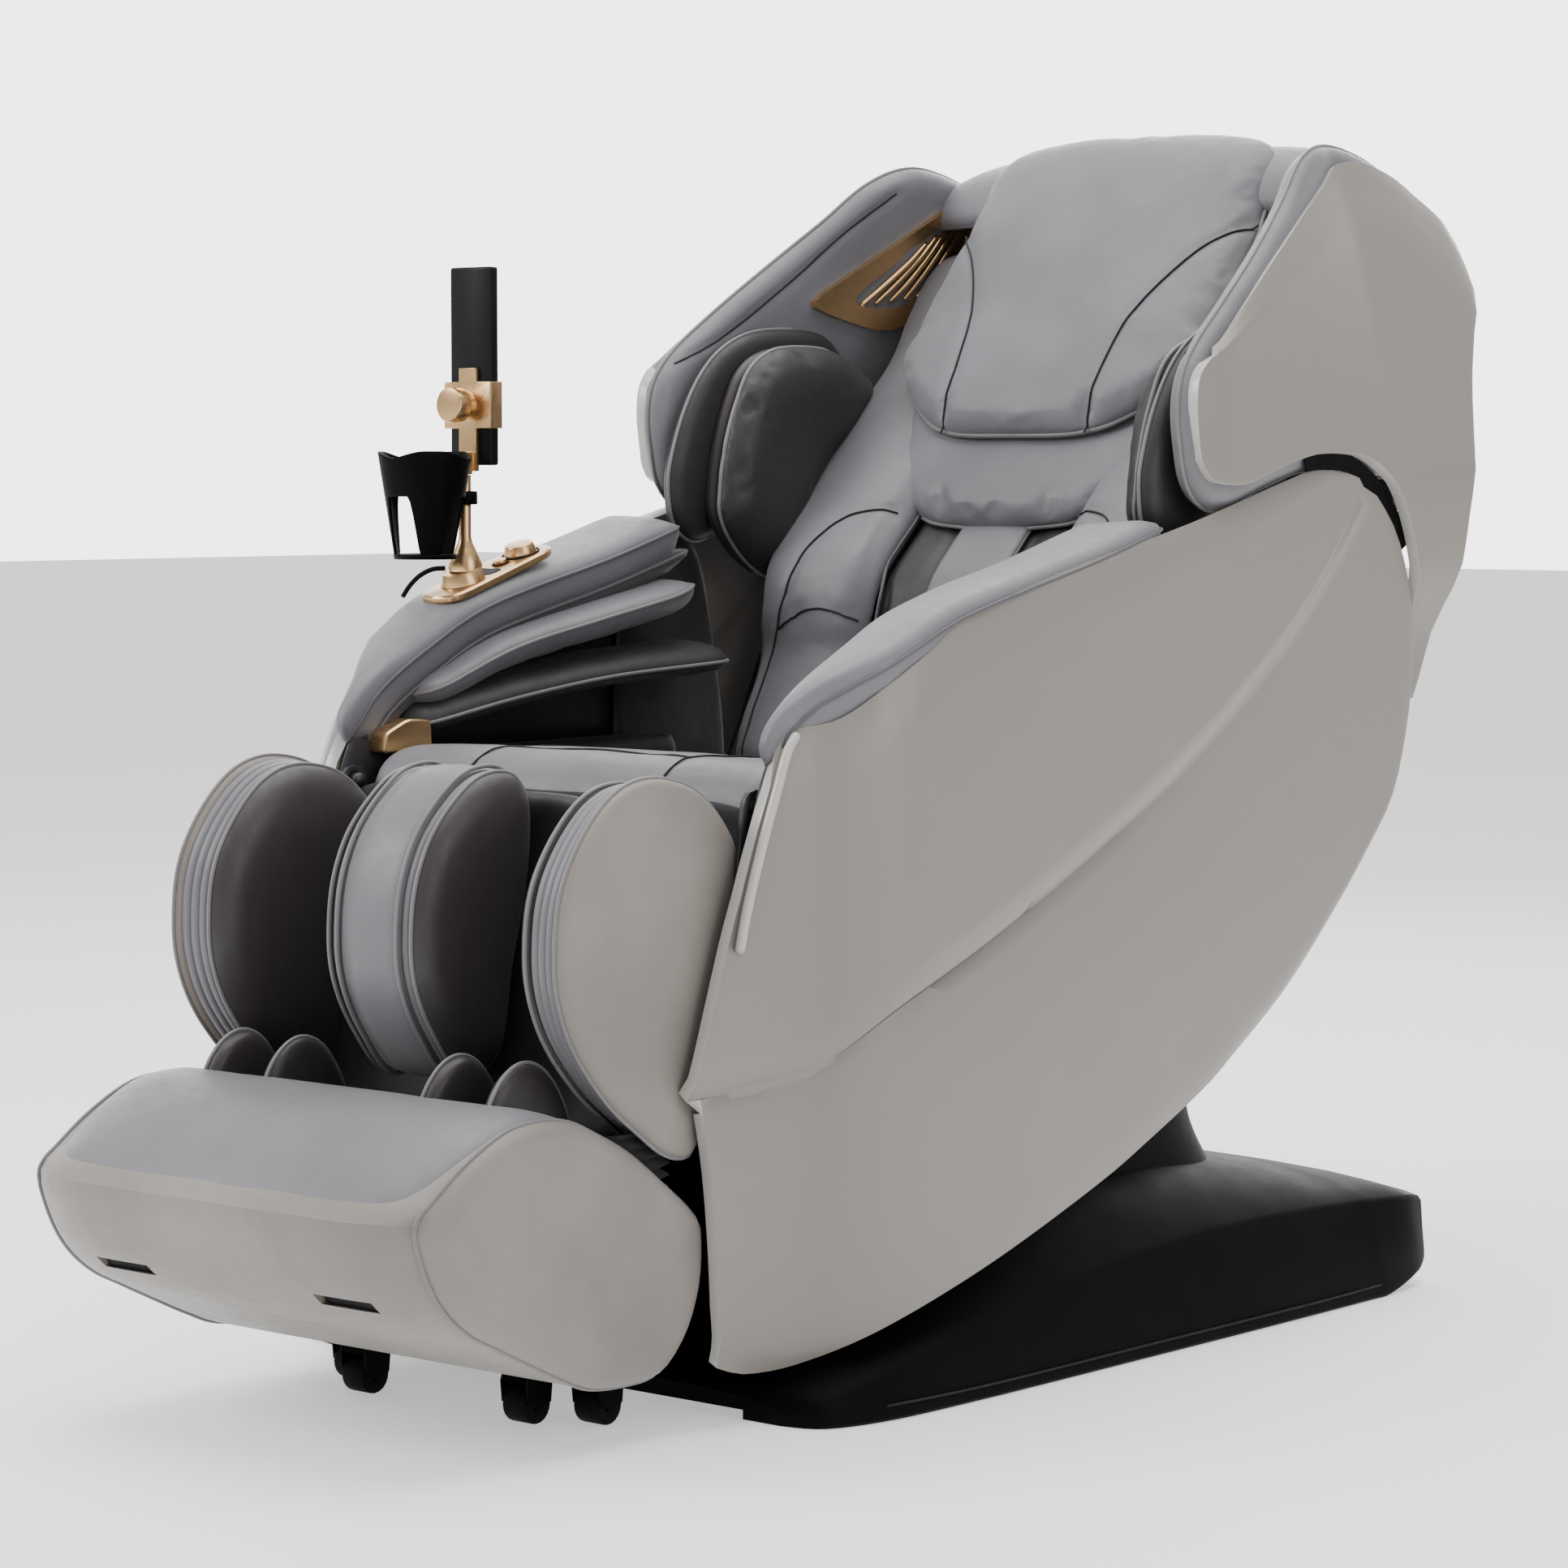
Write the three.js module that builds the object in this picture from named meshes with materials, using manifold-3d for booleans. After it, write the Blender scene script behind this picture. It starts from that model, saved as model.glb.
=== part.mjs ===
// A full-body massage chair: a low black base carries a tilting seat unit with two large side shells, a reclining
// backrest with shoulder wings, and a lifting leg rest with a foot unit that slides out. Millimetres, +Z up.
// The sitter faces -Y, so the sitter's left side is +X. The origin is the centre of the base's underside.
import * as THREE from "three";
import { mergeVertices } from "three/addons/utils/BufferGeometryUtils.js";
import Module from "manifold-3d";

const wasm = await Module();
wasm.setup();

// ---- Driving dimensions -------------------------------------------------------------------------------------
const GAP = 2; // running clearance between pieces that only lie beside each other
const SHELL_OUT = 388; // outer face of the side shells, from the middle plane
const SHELL_WALL = 15;
const SHELL_IN = SHELL_OUT - SHELL_WALL;
const ARM_IN = 270; // inner edge of the arm pads
const LEG_HALF = 260; // half width of the leg rest
const BOLSTER_IN = 190; // inner face of the outer calf bolsters
const MID_BOLSTER_HALF = 60;
const RECLINE = [300, 718]; // backrest pivot (y, z)
const RECLINE_ARC = 170; // radius of the side shell's shoulder around that pivot
const KNEE = [-470, 575]; // leg rest pivot
const TILT = [60, 322]; // seat unit pivot on the base tower
const LEG_SLIDE = [0.22, 0.9755]; // direction (y, z) of the rods that the foot unit slides on, upwards
const POST = [-306, -268, 778.5]; // foot of the controller post, on the sitter's right arm
const LEAN = Math.atan(0.736); // lean of the backrest's straight upper stretch

// ---- Colours and finishes -----------------------------------------------------------------------------------
const finish = (color, roughness, metalness = 0) =>
  new THREE.MeshStandardMaterial({ color, roughness, metalness });
const SHELL = finish(0xb3aea8, 0.32);
const LEATHER = finish(0x8f8e94, 0.55);
const LEATHER_DARK = finish(0x4b4a4d, 0.6);
const LEATHER_PALE = finish(0xaaa49d, 0.55);
const GOLD = finish(0xc39a60, 0.28, 0.9);
const BLACK = finish(0x0d0d0e, 0.4);
const STEEL = finish(0x6d7073, 0.45, 0.8);
const RUBBER = finish(0x151515, 0.8);

const chair = new THREE.Group();

function add(name, geometry, material) {
  const mesh = new THREE.Mesh(geometry, material);
  mesh.name = name;
  chair.add(mesh);
  return mesh;
}

// ---- Shape helpers ------------------------------------------------------------------------------------------
// A closed outline of [a, b, radius] corners, each rounded by its radius.
function rounded(corners) {
  const shape = new THREE.Shape();
  const points = corners.map(([a, b]) => new THREE.Vector2(a, b));
  corners.forEach(([, , radius = 0], i) => {
    const here = points[i];
    const before = points[(i + points.length - 1) % points.length];
    const after = points[(i + 1) % points.length];
    const reach = Math.min(radius, here.distanceTo(before) * 0.49, here.distanceTo(after) * 0.49);
    const enter = here.clone().add(before.clone().sub(here).setLength(reach));
    const leave = here.clone().add(after.clone().sub(here).setLength(reach));
    if (i === 0) shape.moveTo(enter.x, enter.y);
    else shape.lineTo(enter.x, enter.y);
    if (reach > 0) shape.quadraticCurveTo(here.x, here.y, leave.x, leave.y);
  });
  shape.closePath();
  return shape;
}

// The points of an open spline through the given [a, b] points.
function spline(points, count) {
  return new THREE.SplineCurve(points.map(([a, b]) => new THREE.Vector2(a, b)))
    .getPoints(count)
    .map((p) => [p.x, p.y]);
}

// Points of an arc round a centre, between two angles in degrees.
function arc([a, b], radius, from, to, count) {
  return Array.from({ length: count + 1 }, (_, i) => {
    const angle = THREE.MathUtils.degToRad(from + ((to - from) * i) / count);
    return [a + radius * Math.cos(angle), b + radius * Math.sin(angle)];
  });
}

const SIDEWAYS = new THREE.Matrix4().makeBasis(
  new THREE.Vector3(0, 1, 0),
  new THREE.Vector3(0, 0, 1),
  new THREE.Vector3(1, 0, 0),
);
const asShape = (outline) => (outline.isShape ? outline : rounded(outline));

// A side outline (y, z) pushed through from x0 to x1, with edges rounded by `edge`.
function slab(outline, x0, x1, edge = 0, curveSegments = 3) {
  const geometry = new THREE.ExtrudeGeometry(asShape(outline), {
    depth: x1 - x0 - 2 * edge,
    bevelEnabled: edge > 0,
    bevelSize: edge,
    bevelThickness: edge,
    bevelOffset: -edge,
    bevelSegments: edge > 7 ? 2 : 1,
    curveSegments,
  });
  geometry.translate(0, 0, x0 + edge);
  return geometry.applyMatrix4(SIDEWAYS);
}

// A plan outline (x, y) pushed up from z0 to z1.
function block(outline, z0, z1, edge = 0, curveSegments = 3) {
  const geometry = new THREE.ExtrudeGeometry(asShape(outline), {
    depth: z1 - z0 - 2 * edge,
    bevelEnabled: edge > 0,
    bevelSize: edge,
    bevelThickness: edge,
    bevelOffset: -edge,
    bevelSegments: 1,
    curveSegments,
  });
  return geometry.translate(0, 0, z0 + edge);
}

// A plain box between two corners.
function box([x0, y0, z0], [x1, y1, z1]) {
  return new THREE.BoxGeometry(x1 - x0, y1 - y0, z1 - z0).translate(
    (x0 + x1) / 2,
    (y0 + y1) / 2,
    (z0 + z1) / 2,
  );
}

// A cylinder along X, centred at (y, z).
function crossTube(y, z, radius, x0, x1, sides = 16) {
  return new THREE.CylinderGeometry(radius, radius, x1 - x0, sides)
    .rotateZ(Math.PI / 2)
    .translate((x0 + x1) / 2, y, z);
}

// A closed body through rings of equally many [x, y, z] points, one ring per station along Y, capped at both ends.
function loft(rings) {
  const count = rings[0].length;
  const forward = rings.at(-1)[0][1] > rings[0][0][1];
  const anticlockwise = THREE.ShapeUtils.area(rings[0].map(([x, , z]) => new THREE.Vector2(x, z))) > 0;
  const faces = [];
  const face = (a, b, c) => (forward === anticlockwise ? faces.push(a, b, c) : faces.push(a, c, b));
  for (let r = 0; r < rings.length - 1; r += 1)
    for (let i = 0; i < count; i += 1) {
      const a = r * count + i;
      const b = r * count + ((i + 1) % count);
      face(a, b + count, b);
      face(a, a + count, b + count);
    }
  for (const r of [0, rings.length - 1]) {
    const outline = rings[r].map(([x, , z]) => new THREE.Vector2(x, z));
    for (const corners of THREE.ShapeUtils.triangulateShape(outline, [])) {
      const [p, q, s] = corners.map((i) => outline[i]);
      const turnsLeft = (q.x - p.x) * (s.y - p.y) - (q.y - p.y) * (s.x - p.x) > 0;
      const [a, b, c] = corners.map((i) => r * count + i);
      if ((turnsLeft === anticlockwise) === (r === 0)) face(a, b, c);
      else face(a, c, b);
    }
  }
  const geometry = new THREE.BufferGeometry();
  geometry.setAttribute("position", new THREE.Float32BufferAttribute(rings.flat(2), 3));
  geometry.setIndex(faces);
  return geometry;
}

// A body that follows a curved face x = face(y, z): rows of [y, lower z, upper z], an inset from the face and a
// thickness. `edge` chamfers the long edges.
function alongFace(face, rows, inset, thickness, edge) {
  const steps = 4;
  return loft(
    rows.map(([y, low, high]) => {
      const outside = [];
      const inside = [];
      for (let k = 0; k <= steps; k += 1) {
        const z = low + ((high - low) * k) / steps;
        const x = face(y, z) - inset;
        const trim = k === 0 || k === steps ? edge : 0;
        outside.push([x - trim, y, z]);
        inside.push([x - thickness + trim, y, z]);
      }
      return [...inside, ...outside.reverse()];
    }),
  );
}

function solidOf(geometry) {
  const bare = geometry.index ? geometry.toNonIndexed() : geometry.clone();
  bare.deleteAttribute("normal");
  bare.deleteAttribute("uv");
  const merged = mergeVertices(bare, 1e-5);
  return new wasm.Manifold(
    new wasm.Mesh({
      numProp: 3,
      vertProperties: merged.attributes.position.array,
      triVerts: new Uint32Array(merged.index.array),
    }),
  );
}

function geometryOf(solid) {
  const mesh = solid.getMesh();
  const geometry = new THREE.BufferGeometry();
  geometry.setAttribute("position", new THREE.BufferAttribute(mesh.vertProperties.slice(), 3));
  geometry.setIndex(new THREE.BufferAttribute(mesh.triVerts.slice(), 1));
  return geometry;
}

const join = (...parts) => geometryOf(parts.map(solidOf).reduce((all, part) => all.add(part)));
const cut = (whole, ...tools) =>
  geometryOf(tools.map(solidOf).reduce((rest, tool) => rest.subtract(tool), solidOf(whole)));

// Adds a piece for the sitter's left side (+X) and its mirror image for the right side.
function addPair(name, geometry, material) {
  add(name + "_left", geometry, material);
  const mirrored = geometry.clone().applyMatrix4(new THREE.Matrix4().makeScale(-1, 1, 1));
  if (mirrored.index) {
    const order = mirrored.index.array;
    for (let i = 0; i < order.length; i += 3) [order[i + 1], order[i + 2]] = [order[i + 2], order[i + 1]];
    add(name + "_right", mirrored, material);
    return;
  }
  const flat = mirrored.attributes.position.array;
  for (let i = 0; i < flat.length; i += 9)
    for (let k = 0; k < 3; k += 1) [flat[i + 3 + k], flat[i + 6 + k]] = [flat[i + 6 + k], flat[i + 3 + k]];
  add(name + "_right", mirrored, material);
}

// ---- Base -----------------------------------------------------------------------------------------------------
// Cross sections of the cover along the chair: [y, half width at the floor, foot height, side crease height,
// half width there, shoulder height, half width there, crown height].
const COVER = [
  [-470, 300, 0, 14, 296, 22, 240, 26],
  [-452, 340, 0, 26, 334, 38, 270, 44],
  [-380, 362, 0, 44, 350, 66, 290, 76],
  [-250, 368, 0, 66, 346, 104, 290, 116],
  [-120, 369, 0, 84, 340, 138, 280, 152],
  [20, 369, 0, 98, 336, 156, 270, 176],
  [160, 369, 0, 106, 334, 160, 262, 186],
  [300, 368, 0, 106, 334, 146, 262, 168],
  [420, 366, 0, 102, 336, 126, 270, 142],
  [462, 365, 1, 100, 338, 120, 274, 134],
  [524, 356, 13, 96, 340, 110, 282, 120],
  [562, 340, 22, 90, 334, 98, 290, 106],
];
const COVER_WALL = 12;

function coverRing([y, foot, floor, crease, creaseHalf, shoulder, shoulderHalf, crown], inset, drop) {
  const half = [
    [foot - inset, floor - drop],
    [foot - inset, floor + 12],
    [creaseHalf - inset, crease - inset / 2],
    [shoulderHalf - inset, shoulder - inset],
    [shoulderHalf * 0.45, crown - inset],
  ];
  const ring = [...half, ...half.map(([x, z]) => [-x, z]).reverse()];
  return ring.map(([x, z]) => [x, y, z]);
}

// The column that rises from the cover to just under the seat, wide at its foot.
function columnRing(z, half, front, rear) {
  const chamfer = 40;
  const plan = [
    [-half, front + chamfer], [-half + chamfer, front], [half - chamfer, front], [half, front + chamfer],
    [half, rear - chamfer], [half - chamfer, rear], [-half + chamfer, rear], [-half, rear - chamfer],
  ];
  return plan.map(([x, y]) => [x, y, z]);
}
const COLUMN = [
  [100, 270, -240, 420],
  [160, 256, -180, 356],
  [200, 250, -150, 330],
  [250, 246, -120, 318],
  [296, 240, -96, 308],
];

function columnBody(inset, from, to) {
  const rings = COLUMN.map(([z, half, front, rear], i) => {
    const height = i === 0 ? from : i === COLUMN.length - 1 ? to : z;
    return columnRing(height, half - inset, front + inset, rear - inset);
  });
  // Rings lie flat, so the loft is built standing along Y and then turned up.
  const standing = rings.map((ring) => ring.map(([x, y, z]) => [x, z, -y]));
  return loft(standing).rotateX(Math.PI / 2);
}

function buildBase() {
  const outer = loft(COVER.map((row) => coverRing(row, 0, 0)));
  const hollowRows = COVER.slice(1, -1).map((row) => coverRing(row, COVER_WALL, 30));
  const cover = join(outer, columnBody(0, 100, 296));
  const coverHollow = join(loft(hollowRows), columnBody(COVER_WALL, 90, 284));
  const opening = box([-134, -70, 270], [134, 190, 320]); // the seat unit's pivot lugs pass through here
  const wheelSlot = (side) => box([side * 290 - 18, 478, -10], [side * 290 + 18, 540, 60]);
  const inletHole = box([-160, 520, 40], [-112, 600, 72]);
  const switchHole = box([-96, 520, 40], [-64, 600, 72]);
  const cuts = [coverHollow, opening, wheelSlot(1), wheelSlot(-1), inletHole, switchHole];
  add("base_cover", cut(cover, ...cuts), BLACK);

  // Welded floor frame: a plate with two upright cheeks tied together, each bored for the seat unit's pivot tube.
  const plate = block([[-320, -410, 40], [320, -410, 40], [320, 436, 40], [-320, 436, 40]], 0, 12);
  const cheekSide = [[-60, 10], [10, 330, 24], [36, 350, 20], [84, 350, 20], [110, 330, 24], [180, 10]];
  const cheek = (side) => slab(cheekSide, side * 118 - 5, side * 118 + 5);
  const tie = box([-116, 20, 60], [116, 100, 90]);
  const bore = crossTube(...TILT, 13, -140, 140, 20);
  add("base_frame", cut(join(plate, cheek(1), cheek(-1), tie), bore), STEEL);

  add("air_pump", join(box([150, -290, 12.4], [290, -170, 44]), crossTube(-230, 54, 20, 160, 280)), STEEL);
  add("tilt_motor", join(box([-45, -300, 12.4], [45, -210, 70]), box([-17, -212, 30], [17, -110, 58])), BLACK);

  add("power_inlet", box([-159, 548, 41], [-113, 558, 71]), BLACK);
  add("power_switch", box([-94, 546, 42], [-66, 562, 70]), RUBBER);
  addPair("rear_wheel", crossTube(508, 27, 24, 280, 300, 20), RUBBER);
}

// ---- Seat unit ------------------------------------------------------------------------------------------------
// Plan line of the side shells' outer face, front to rear: [y, distance from the middle plane]. Their front third is
// drawn in towards the leg rest.
const SHELL_PLAN = [
  [-580, 299], [-500, 302], [-462, 306], [-440, 316], [-412, 336], [-376, 360], [-328, 371], [-262, 378],
  [-200, 383], [-86, 386], [60, SHELL_OUT], [480, SHELL_OUT],
];
// Lower and upper edge of a side shell, front to rear. Both end on the rounded shoulder that the wing turns round.
const SHELL_LOW = [
  [-572, 322], [-560, 296], [-547, 234], [-538, 120], [-532, 66], [-510, 50], [-496, 49], [-438, 54], [-375, 83],
  [-239, 128], [-80, 187], [97, 264], [238, 351], [322, 421], [391, 489], [420, 534], [440, 592], [455, 649],
  [466, 690], [470, 712],
];
const SHELL_HIGH = [
  [-572, 332], [-534, 451], [-519, 491], [-497, 549], [-478, 594], [-462, 633], [-446, 646], [-412, 656],
  [-375, 684], [-327, 714], [-290, 739], [-262, 748], [-199, 771], [-86, 799], [66, 831], [230, 872], [270, 885],
  [322, 887], [370, 873], [405, 851], [420, 838], [440, 814], [455, 787], [466, 748], [470, 726],
];

// The second value of a line of [a, b] points, at one a.
function valueAt(line, a) {
  const i = Math.max(1, line.findIndex(([start]) => start >= a));
  const [a0, b0] = line[i - 1];
  const [a1, b1] = line[i];
  return b0 + ((b1 - b0) * (a - a0)) / (a1 - a0);
}
const shellFace = (y) => valueAt(SHELL_PLAN, y);

function sidePanel() {
  const stations = [...new Set([...SHELL_LOW, ...SHELL_HIGH].map(([y]) => y))].sort((a, b) => a - b);
  const rows = stations.map((y) => [y, valueAt(SHELL_LOW, y), valueAt(SHELL_HIGH, y)]);
  return alongFace(shellFace, rows, 0, SHELL_WALL, 3);
}

// Everything outside a side shell's inner face, with a running gap: it trims what lies against the shell.
function beyondShell(side) {
  const inner = SHELL_PLAN.map(([y, x]) => [side * (x - SHELL_WALL - GAP), y]);
  const far = [[side * 600, 460], [side * 600, -700], [side * (SHELL_PLAN[0][1] - SHELL_WALL - GAP), -700]];
  return block([...inner, ...far], 0, 1000);
}

// Top and underside of the arm pads, front to rear.
const ARM_TOP = [[-460, 640], [-440, 664], [-408, 690], [-348, 720], [-290, 750], [-206, 777], [-88, 806], [24, 833]];
const ARM_PAD_DEPTH = 42;
const AIRBAG_FLOOR = 600;

function buildArms() {
  const underside = ARM_TOP.map(([y, z]) => [y, z - ARM_PAD_DEPTH]).reverse();
  const padSide = [...ARM_TOP, ...underside.slice(0, -1), [-466, 618]];
  addPair("arm_pad", cut(slab(padSide, ARM_IN, SHELL_IN - GAP, 9, 1), beyondShell(1)), LEATHER);

  // The arm's upholstered body, hollowed so that a forearm fits in from the seat side.
  const coreTop = ARM_TOP.map(([y, z]) => [y, z - ARM_PAD_DEPTH - GAP]);
  coreTop[0] = [-470, 600];
  const front = [[-480, 560], [-500, 500], [-512, 430]];
  const rear = [[28, 430], [28, coreTop.at(-1)[1]]];
  const body = slab([...front, ...rear, ...coreTop.reverse()], ARM_IN, SHELL_IN - GAP);
  const hollow = [
    [-440, 620], [-440, AIRBAG_FLOOR], [40, AIRBAG_FLOOR], [40, 776],
    [-88, 750], [-206, 720], [-290, 694], [-348, 664], [-408, 640],
  ];
  const cavity = slab(hollow, ARM_IN - 20, 340);
  addPair("arm_core", cut(body, cavity, beyondShell(1)), LEATHER_DARK);

  const upperBag = [
    [-330, 662, 8], [-256, 690, 20], [-120, 716, 30], [10, 742, 16],
    [18, 762, 8], [-88, 743, 30], [-206, 714, 20], [-290, 688, 20],
  ];
  addPair("arm_airbag_upper", slab(upperBag, 248, 336), LEATHER);
  const lowerBag = [
    [-364, 603, 4], [-360, 626, 12], [-250, 652, 30], [-90, 668, 30], [20, 670, 16],
    [22, 650, 8], [-90, 634, 40], [-230, 612, 30], [-330, 602.5, 4],
  ];
  addPair("arm_airbag_lower", slab(lowerBag, 246, 336), LEATHER_DARK);
  const grip = [[-438, 600.4, 4], [-438, 620, 8], [-405, 634, 8], [-372, 632, 6], [-370, 600.4, 4]];
  addPair("hand_grip", slab(grip, 252, 292, 2), GOLD);
}

function buildControls() {
  // The control plate follows the arm's slope just in front of the middle of the pad.
  const slope = Math.atan2(27, 84);
  const place = (geometry, [x, y, z]) => geometry.rotateX(slope).translate(x, y, z);
  const plan = [[-30, -86, 30], [30, -86, 30], [26, 84, 26], [-26, 84, 26]];
  const centre = [-306, -232, 771.5];
  // A short round piece standing on the plate, at a distance along it and a height above its underside.
  const disc = (rTop, rBottom, height, along, middle) =>
    new THREE.CylinderGeometry(rTop, rBottom, height, 24).rotateX(Math.PI / 2).translate(0, along, middle);
  const buttonPocket = disc(7.8, 7.8, 10, 20, 11);
  add("control_plate", place(cut(block(plan, 0, 9, 2, 5), buttonPocket), centre), GOLD);
  add("control_knob", place(disc(15, 18, 11, 52, 15), centre), GOLD);
  add("control_button", place(disc(7, 7, 4, 20, 11.6), centre), GOLD);

  const collar = [[0, 0], [17, 0], [18, 8], [12, 22], [8, 30], [6.5, 36], [6.5, 100], [0, 100]];
  const post = new THREE.LatheGeometry(collar.map(([r, h]) => new THREE.Vector2(r, h)), 20).rotateX(Math.PI / 2);
  const foot = place(disc(20, 24, 12, -38, 15.4), centre);
  add("controller_post", join(post.translate(...POST), foot), GOLD);

  // Open three-finger cup on an arm whose ring turns on the post.
  const [px, py, pz] = POST;
  const cupY = py - 58;
  const cupZ = pz + 18;
  const wall = [[0, -4], [31, -4], [49, 106], [45, 106], [27, 0], [0, 0]];
  const cup = new THREE.LatheGeometry(wall.map(([r, h]) => new THREE.Vector2(r, h)), 24).rotateX(Math.PI / 2);
  cup.translate(px, cupY, cupZ);
  const windows = [20, 140, 260].map((turn) =>
    box([12, -13, 10], [70, 13, 74]).rotateZ(THREE.MathUtils.degToRad(turn)).translate(px, cupY, cupZ),
  );
  const arm = box([px - 6, cupY + 38, cupZ + 52], [px + 6, py - 5, cupZ + 66]);
  const upright = (radius) =>
    new THREE.CylinderGeometry(radius, radius, 14, 20).rotateX(Math.PI / 2).translate(px, py, cupZ + 59);
  add("cup_holder", cut(join(cut(cup, ...windows), arm, upright(13)), upright(7.2)), BLACK);

  // The bracket holds the controller upright by its back, with a clamping knob that faces away from the sitter.
  const head = [px, py + 14, pz + 118];
  const stand = (geometry) => geometry.translate(...head);
  const elbow = new THREE.CylinderGeometry(8, 8, 23, 20).rotateX(Math.PI / 2).translate(0, -14, -5.9);
  const back = box([-12, -10, -14], [12, -5, 92]);
  const grips = box([-33, -10, 30], [33, -5, 78]);
  const lips = [-33, 30].map((x) => box([x, -10, 30], [x + 3, 8, 78]));
  const bossAt = (radius, y0, y1) =>
    new THREE.CylinderGeometry(radius, radius, y1 - y0, 20).translate(0, (y0 + y1) / 2, 54);
  add("controller_bracket", stand(join(elbow, back, grips, ...lips, bossAt(13, -20, -9))), GOLD);
  add("bracket_knob", stand(bossAt(18, -38, -20.4)), GOLD);
  add("controller", stand(box([-29, -4.5, -8], [29, 6.5, 196])), BLACK);

  // The controller's lead runs from the post's foot down into the joint between the arm pad and the side shell.
  const lead = new THREE.CatmullRomCurve3(
    [[-333.2, -270, 782], [-341, -280, 781], [-347, -292, 775], [-350, -304, 765], [-351.5, -314, 753]].map(
      (p) => new THREE.Vector3(...p),
    ),
  );
  const section = new THREE.Shape().absarc(0, 0, 2.6, 0, 2 * Math.PI);
  add("controller_lead", new THREE.ExtrudeGeometry(section, { steps: 14, curveSegments: 4, extrudePath: lead }), RUBBER);
}

function buildSeat() {
  addPair("side_panel", sidePanel(), SHELL);
  buildArms();
  buildControls();

  const cushion = [[-450, 500, 24], [-446, 592, 30], [-200, 566, 60], [60, 530, 20], [64, 470, 20]];
  add("seat_cushion", slab(cushion, -ARM_IN + 8, ARM_IN - 8, 8), LEATHER);

  // Welded frame: a side plate under each arm with an ear for the backrest, cross tubes, two lugs down to the base
  // tower with the pivot tube through them, and two arms that carry the leg rest.
  const sidePlate = [
    [-350, 330], [-350, 426], [120, 426], [256, 700], [300, 752, 40],
    [346, 700], [340, 460], [230, 380], [100, 330],
  ];
  const plate = (side) => slab(sidePlate, side * 343 - 3, side * 343 + 3);
  const bore = crossTube(...RECLINE, 13, -400, 400, 20);
  const crossTubes = [[-462, 352, 266], [-240, 346, 342], [100, 396, 342], [300, 470, 342]];
  const tubes = crossTubes.map(([y, z, half]) => crossTube(y, z, 14, -half, half, 12));
  const lug = (side) => slab([[34, 400], [36, 300, 20], [84, 300, 20], [96, 400]], side * 90 - 5, side * 90 + 5);
  const pivot = crossTube(...TILT, 11.5, -126, 126, 16);
  const kneeArmSide = [[-520, 340], [-486, 590, 16], [-454, 590, 16], [-438, 380, 20], [-200, 380], [-200, 340]];
  const kneeArm = (side) => slab(kneeArmSide, side * 265 - 2.5, side * 265 + 2.5);
  const kneeBore = crossTube(...KNEE, 9, -300, 300, 16);
  const whole = join(plate(1), plate(-1), ...tubes, lug(1), lug(-1), pivot, kneeArm(1), kneeArm(-1));
  add("seat_frame", cut(whole, bore, kneeBore), STEEL);
}

// ---- Backrest -------------------------------------------------------------------------------------------------
// The wing's outer face leans in towards the crown, and its tail is set in so that it passes behind the side shell.
function wingFace(y, z) {
  const rise = THREE.MathUtils.clamp((z - 880) / 320, 0, 1) * THREE.MathUtils.clamp((y - 70) / 360, 0, 1);
  const tuck = 1 - THREE.MathUtils.smoothstep(z, 700, 790);
  return 386 - 76 * rise - 20 * tuck;
}

const alongWing = (...args) => alongFace(wingFace, ...args);

// Side outline of one leaning rail of the back frame, from its ear round the recline pivot to its top.
const RAIL = [
  [280, 684, 20], [214, 734, 20], [320, 862], [452, 1000], [538, 1104, 10],
  [584, 1076, 10], [512, 975], [424, 850], [352, 716, 20],
];

const WING_ROWS = [
  [74, 930, 962], [84, 890, 984], [106, 872, 1006], [150, 873, 1037], [210, 884, 1078], [270, 897, 1118],
  [330, 899, 1150], [400, 870, 1188], [440, 832, 1206], [462, 800, 1210], [473, 770, 1211], [478, 642, 1211],
  [492, 640, 1210], [520, 712, 1204], [548, 776, 1193], [574, 850, 1181], [600, 930, 1166], [626, 1010, 1152], [650, 1060, 1110],
];
const WING_PAD_ROWS = [
  [66, 934, 966], [76, 866, 990], [100, 850, 1014], [150, 850, 1050], [210, 884, 1092], [300, 903, 1148],
  [370, 903, 1184], [430, 905, 1206], [500, 910, 1203], [556, 930, 1184], [590, 980, 1164],
];

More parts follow.
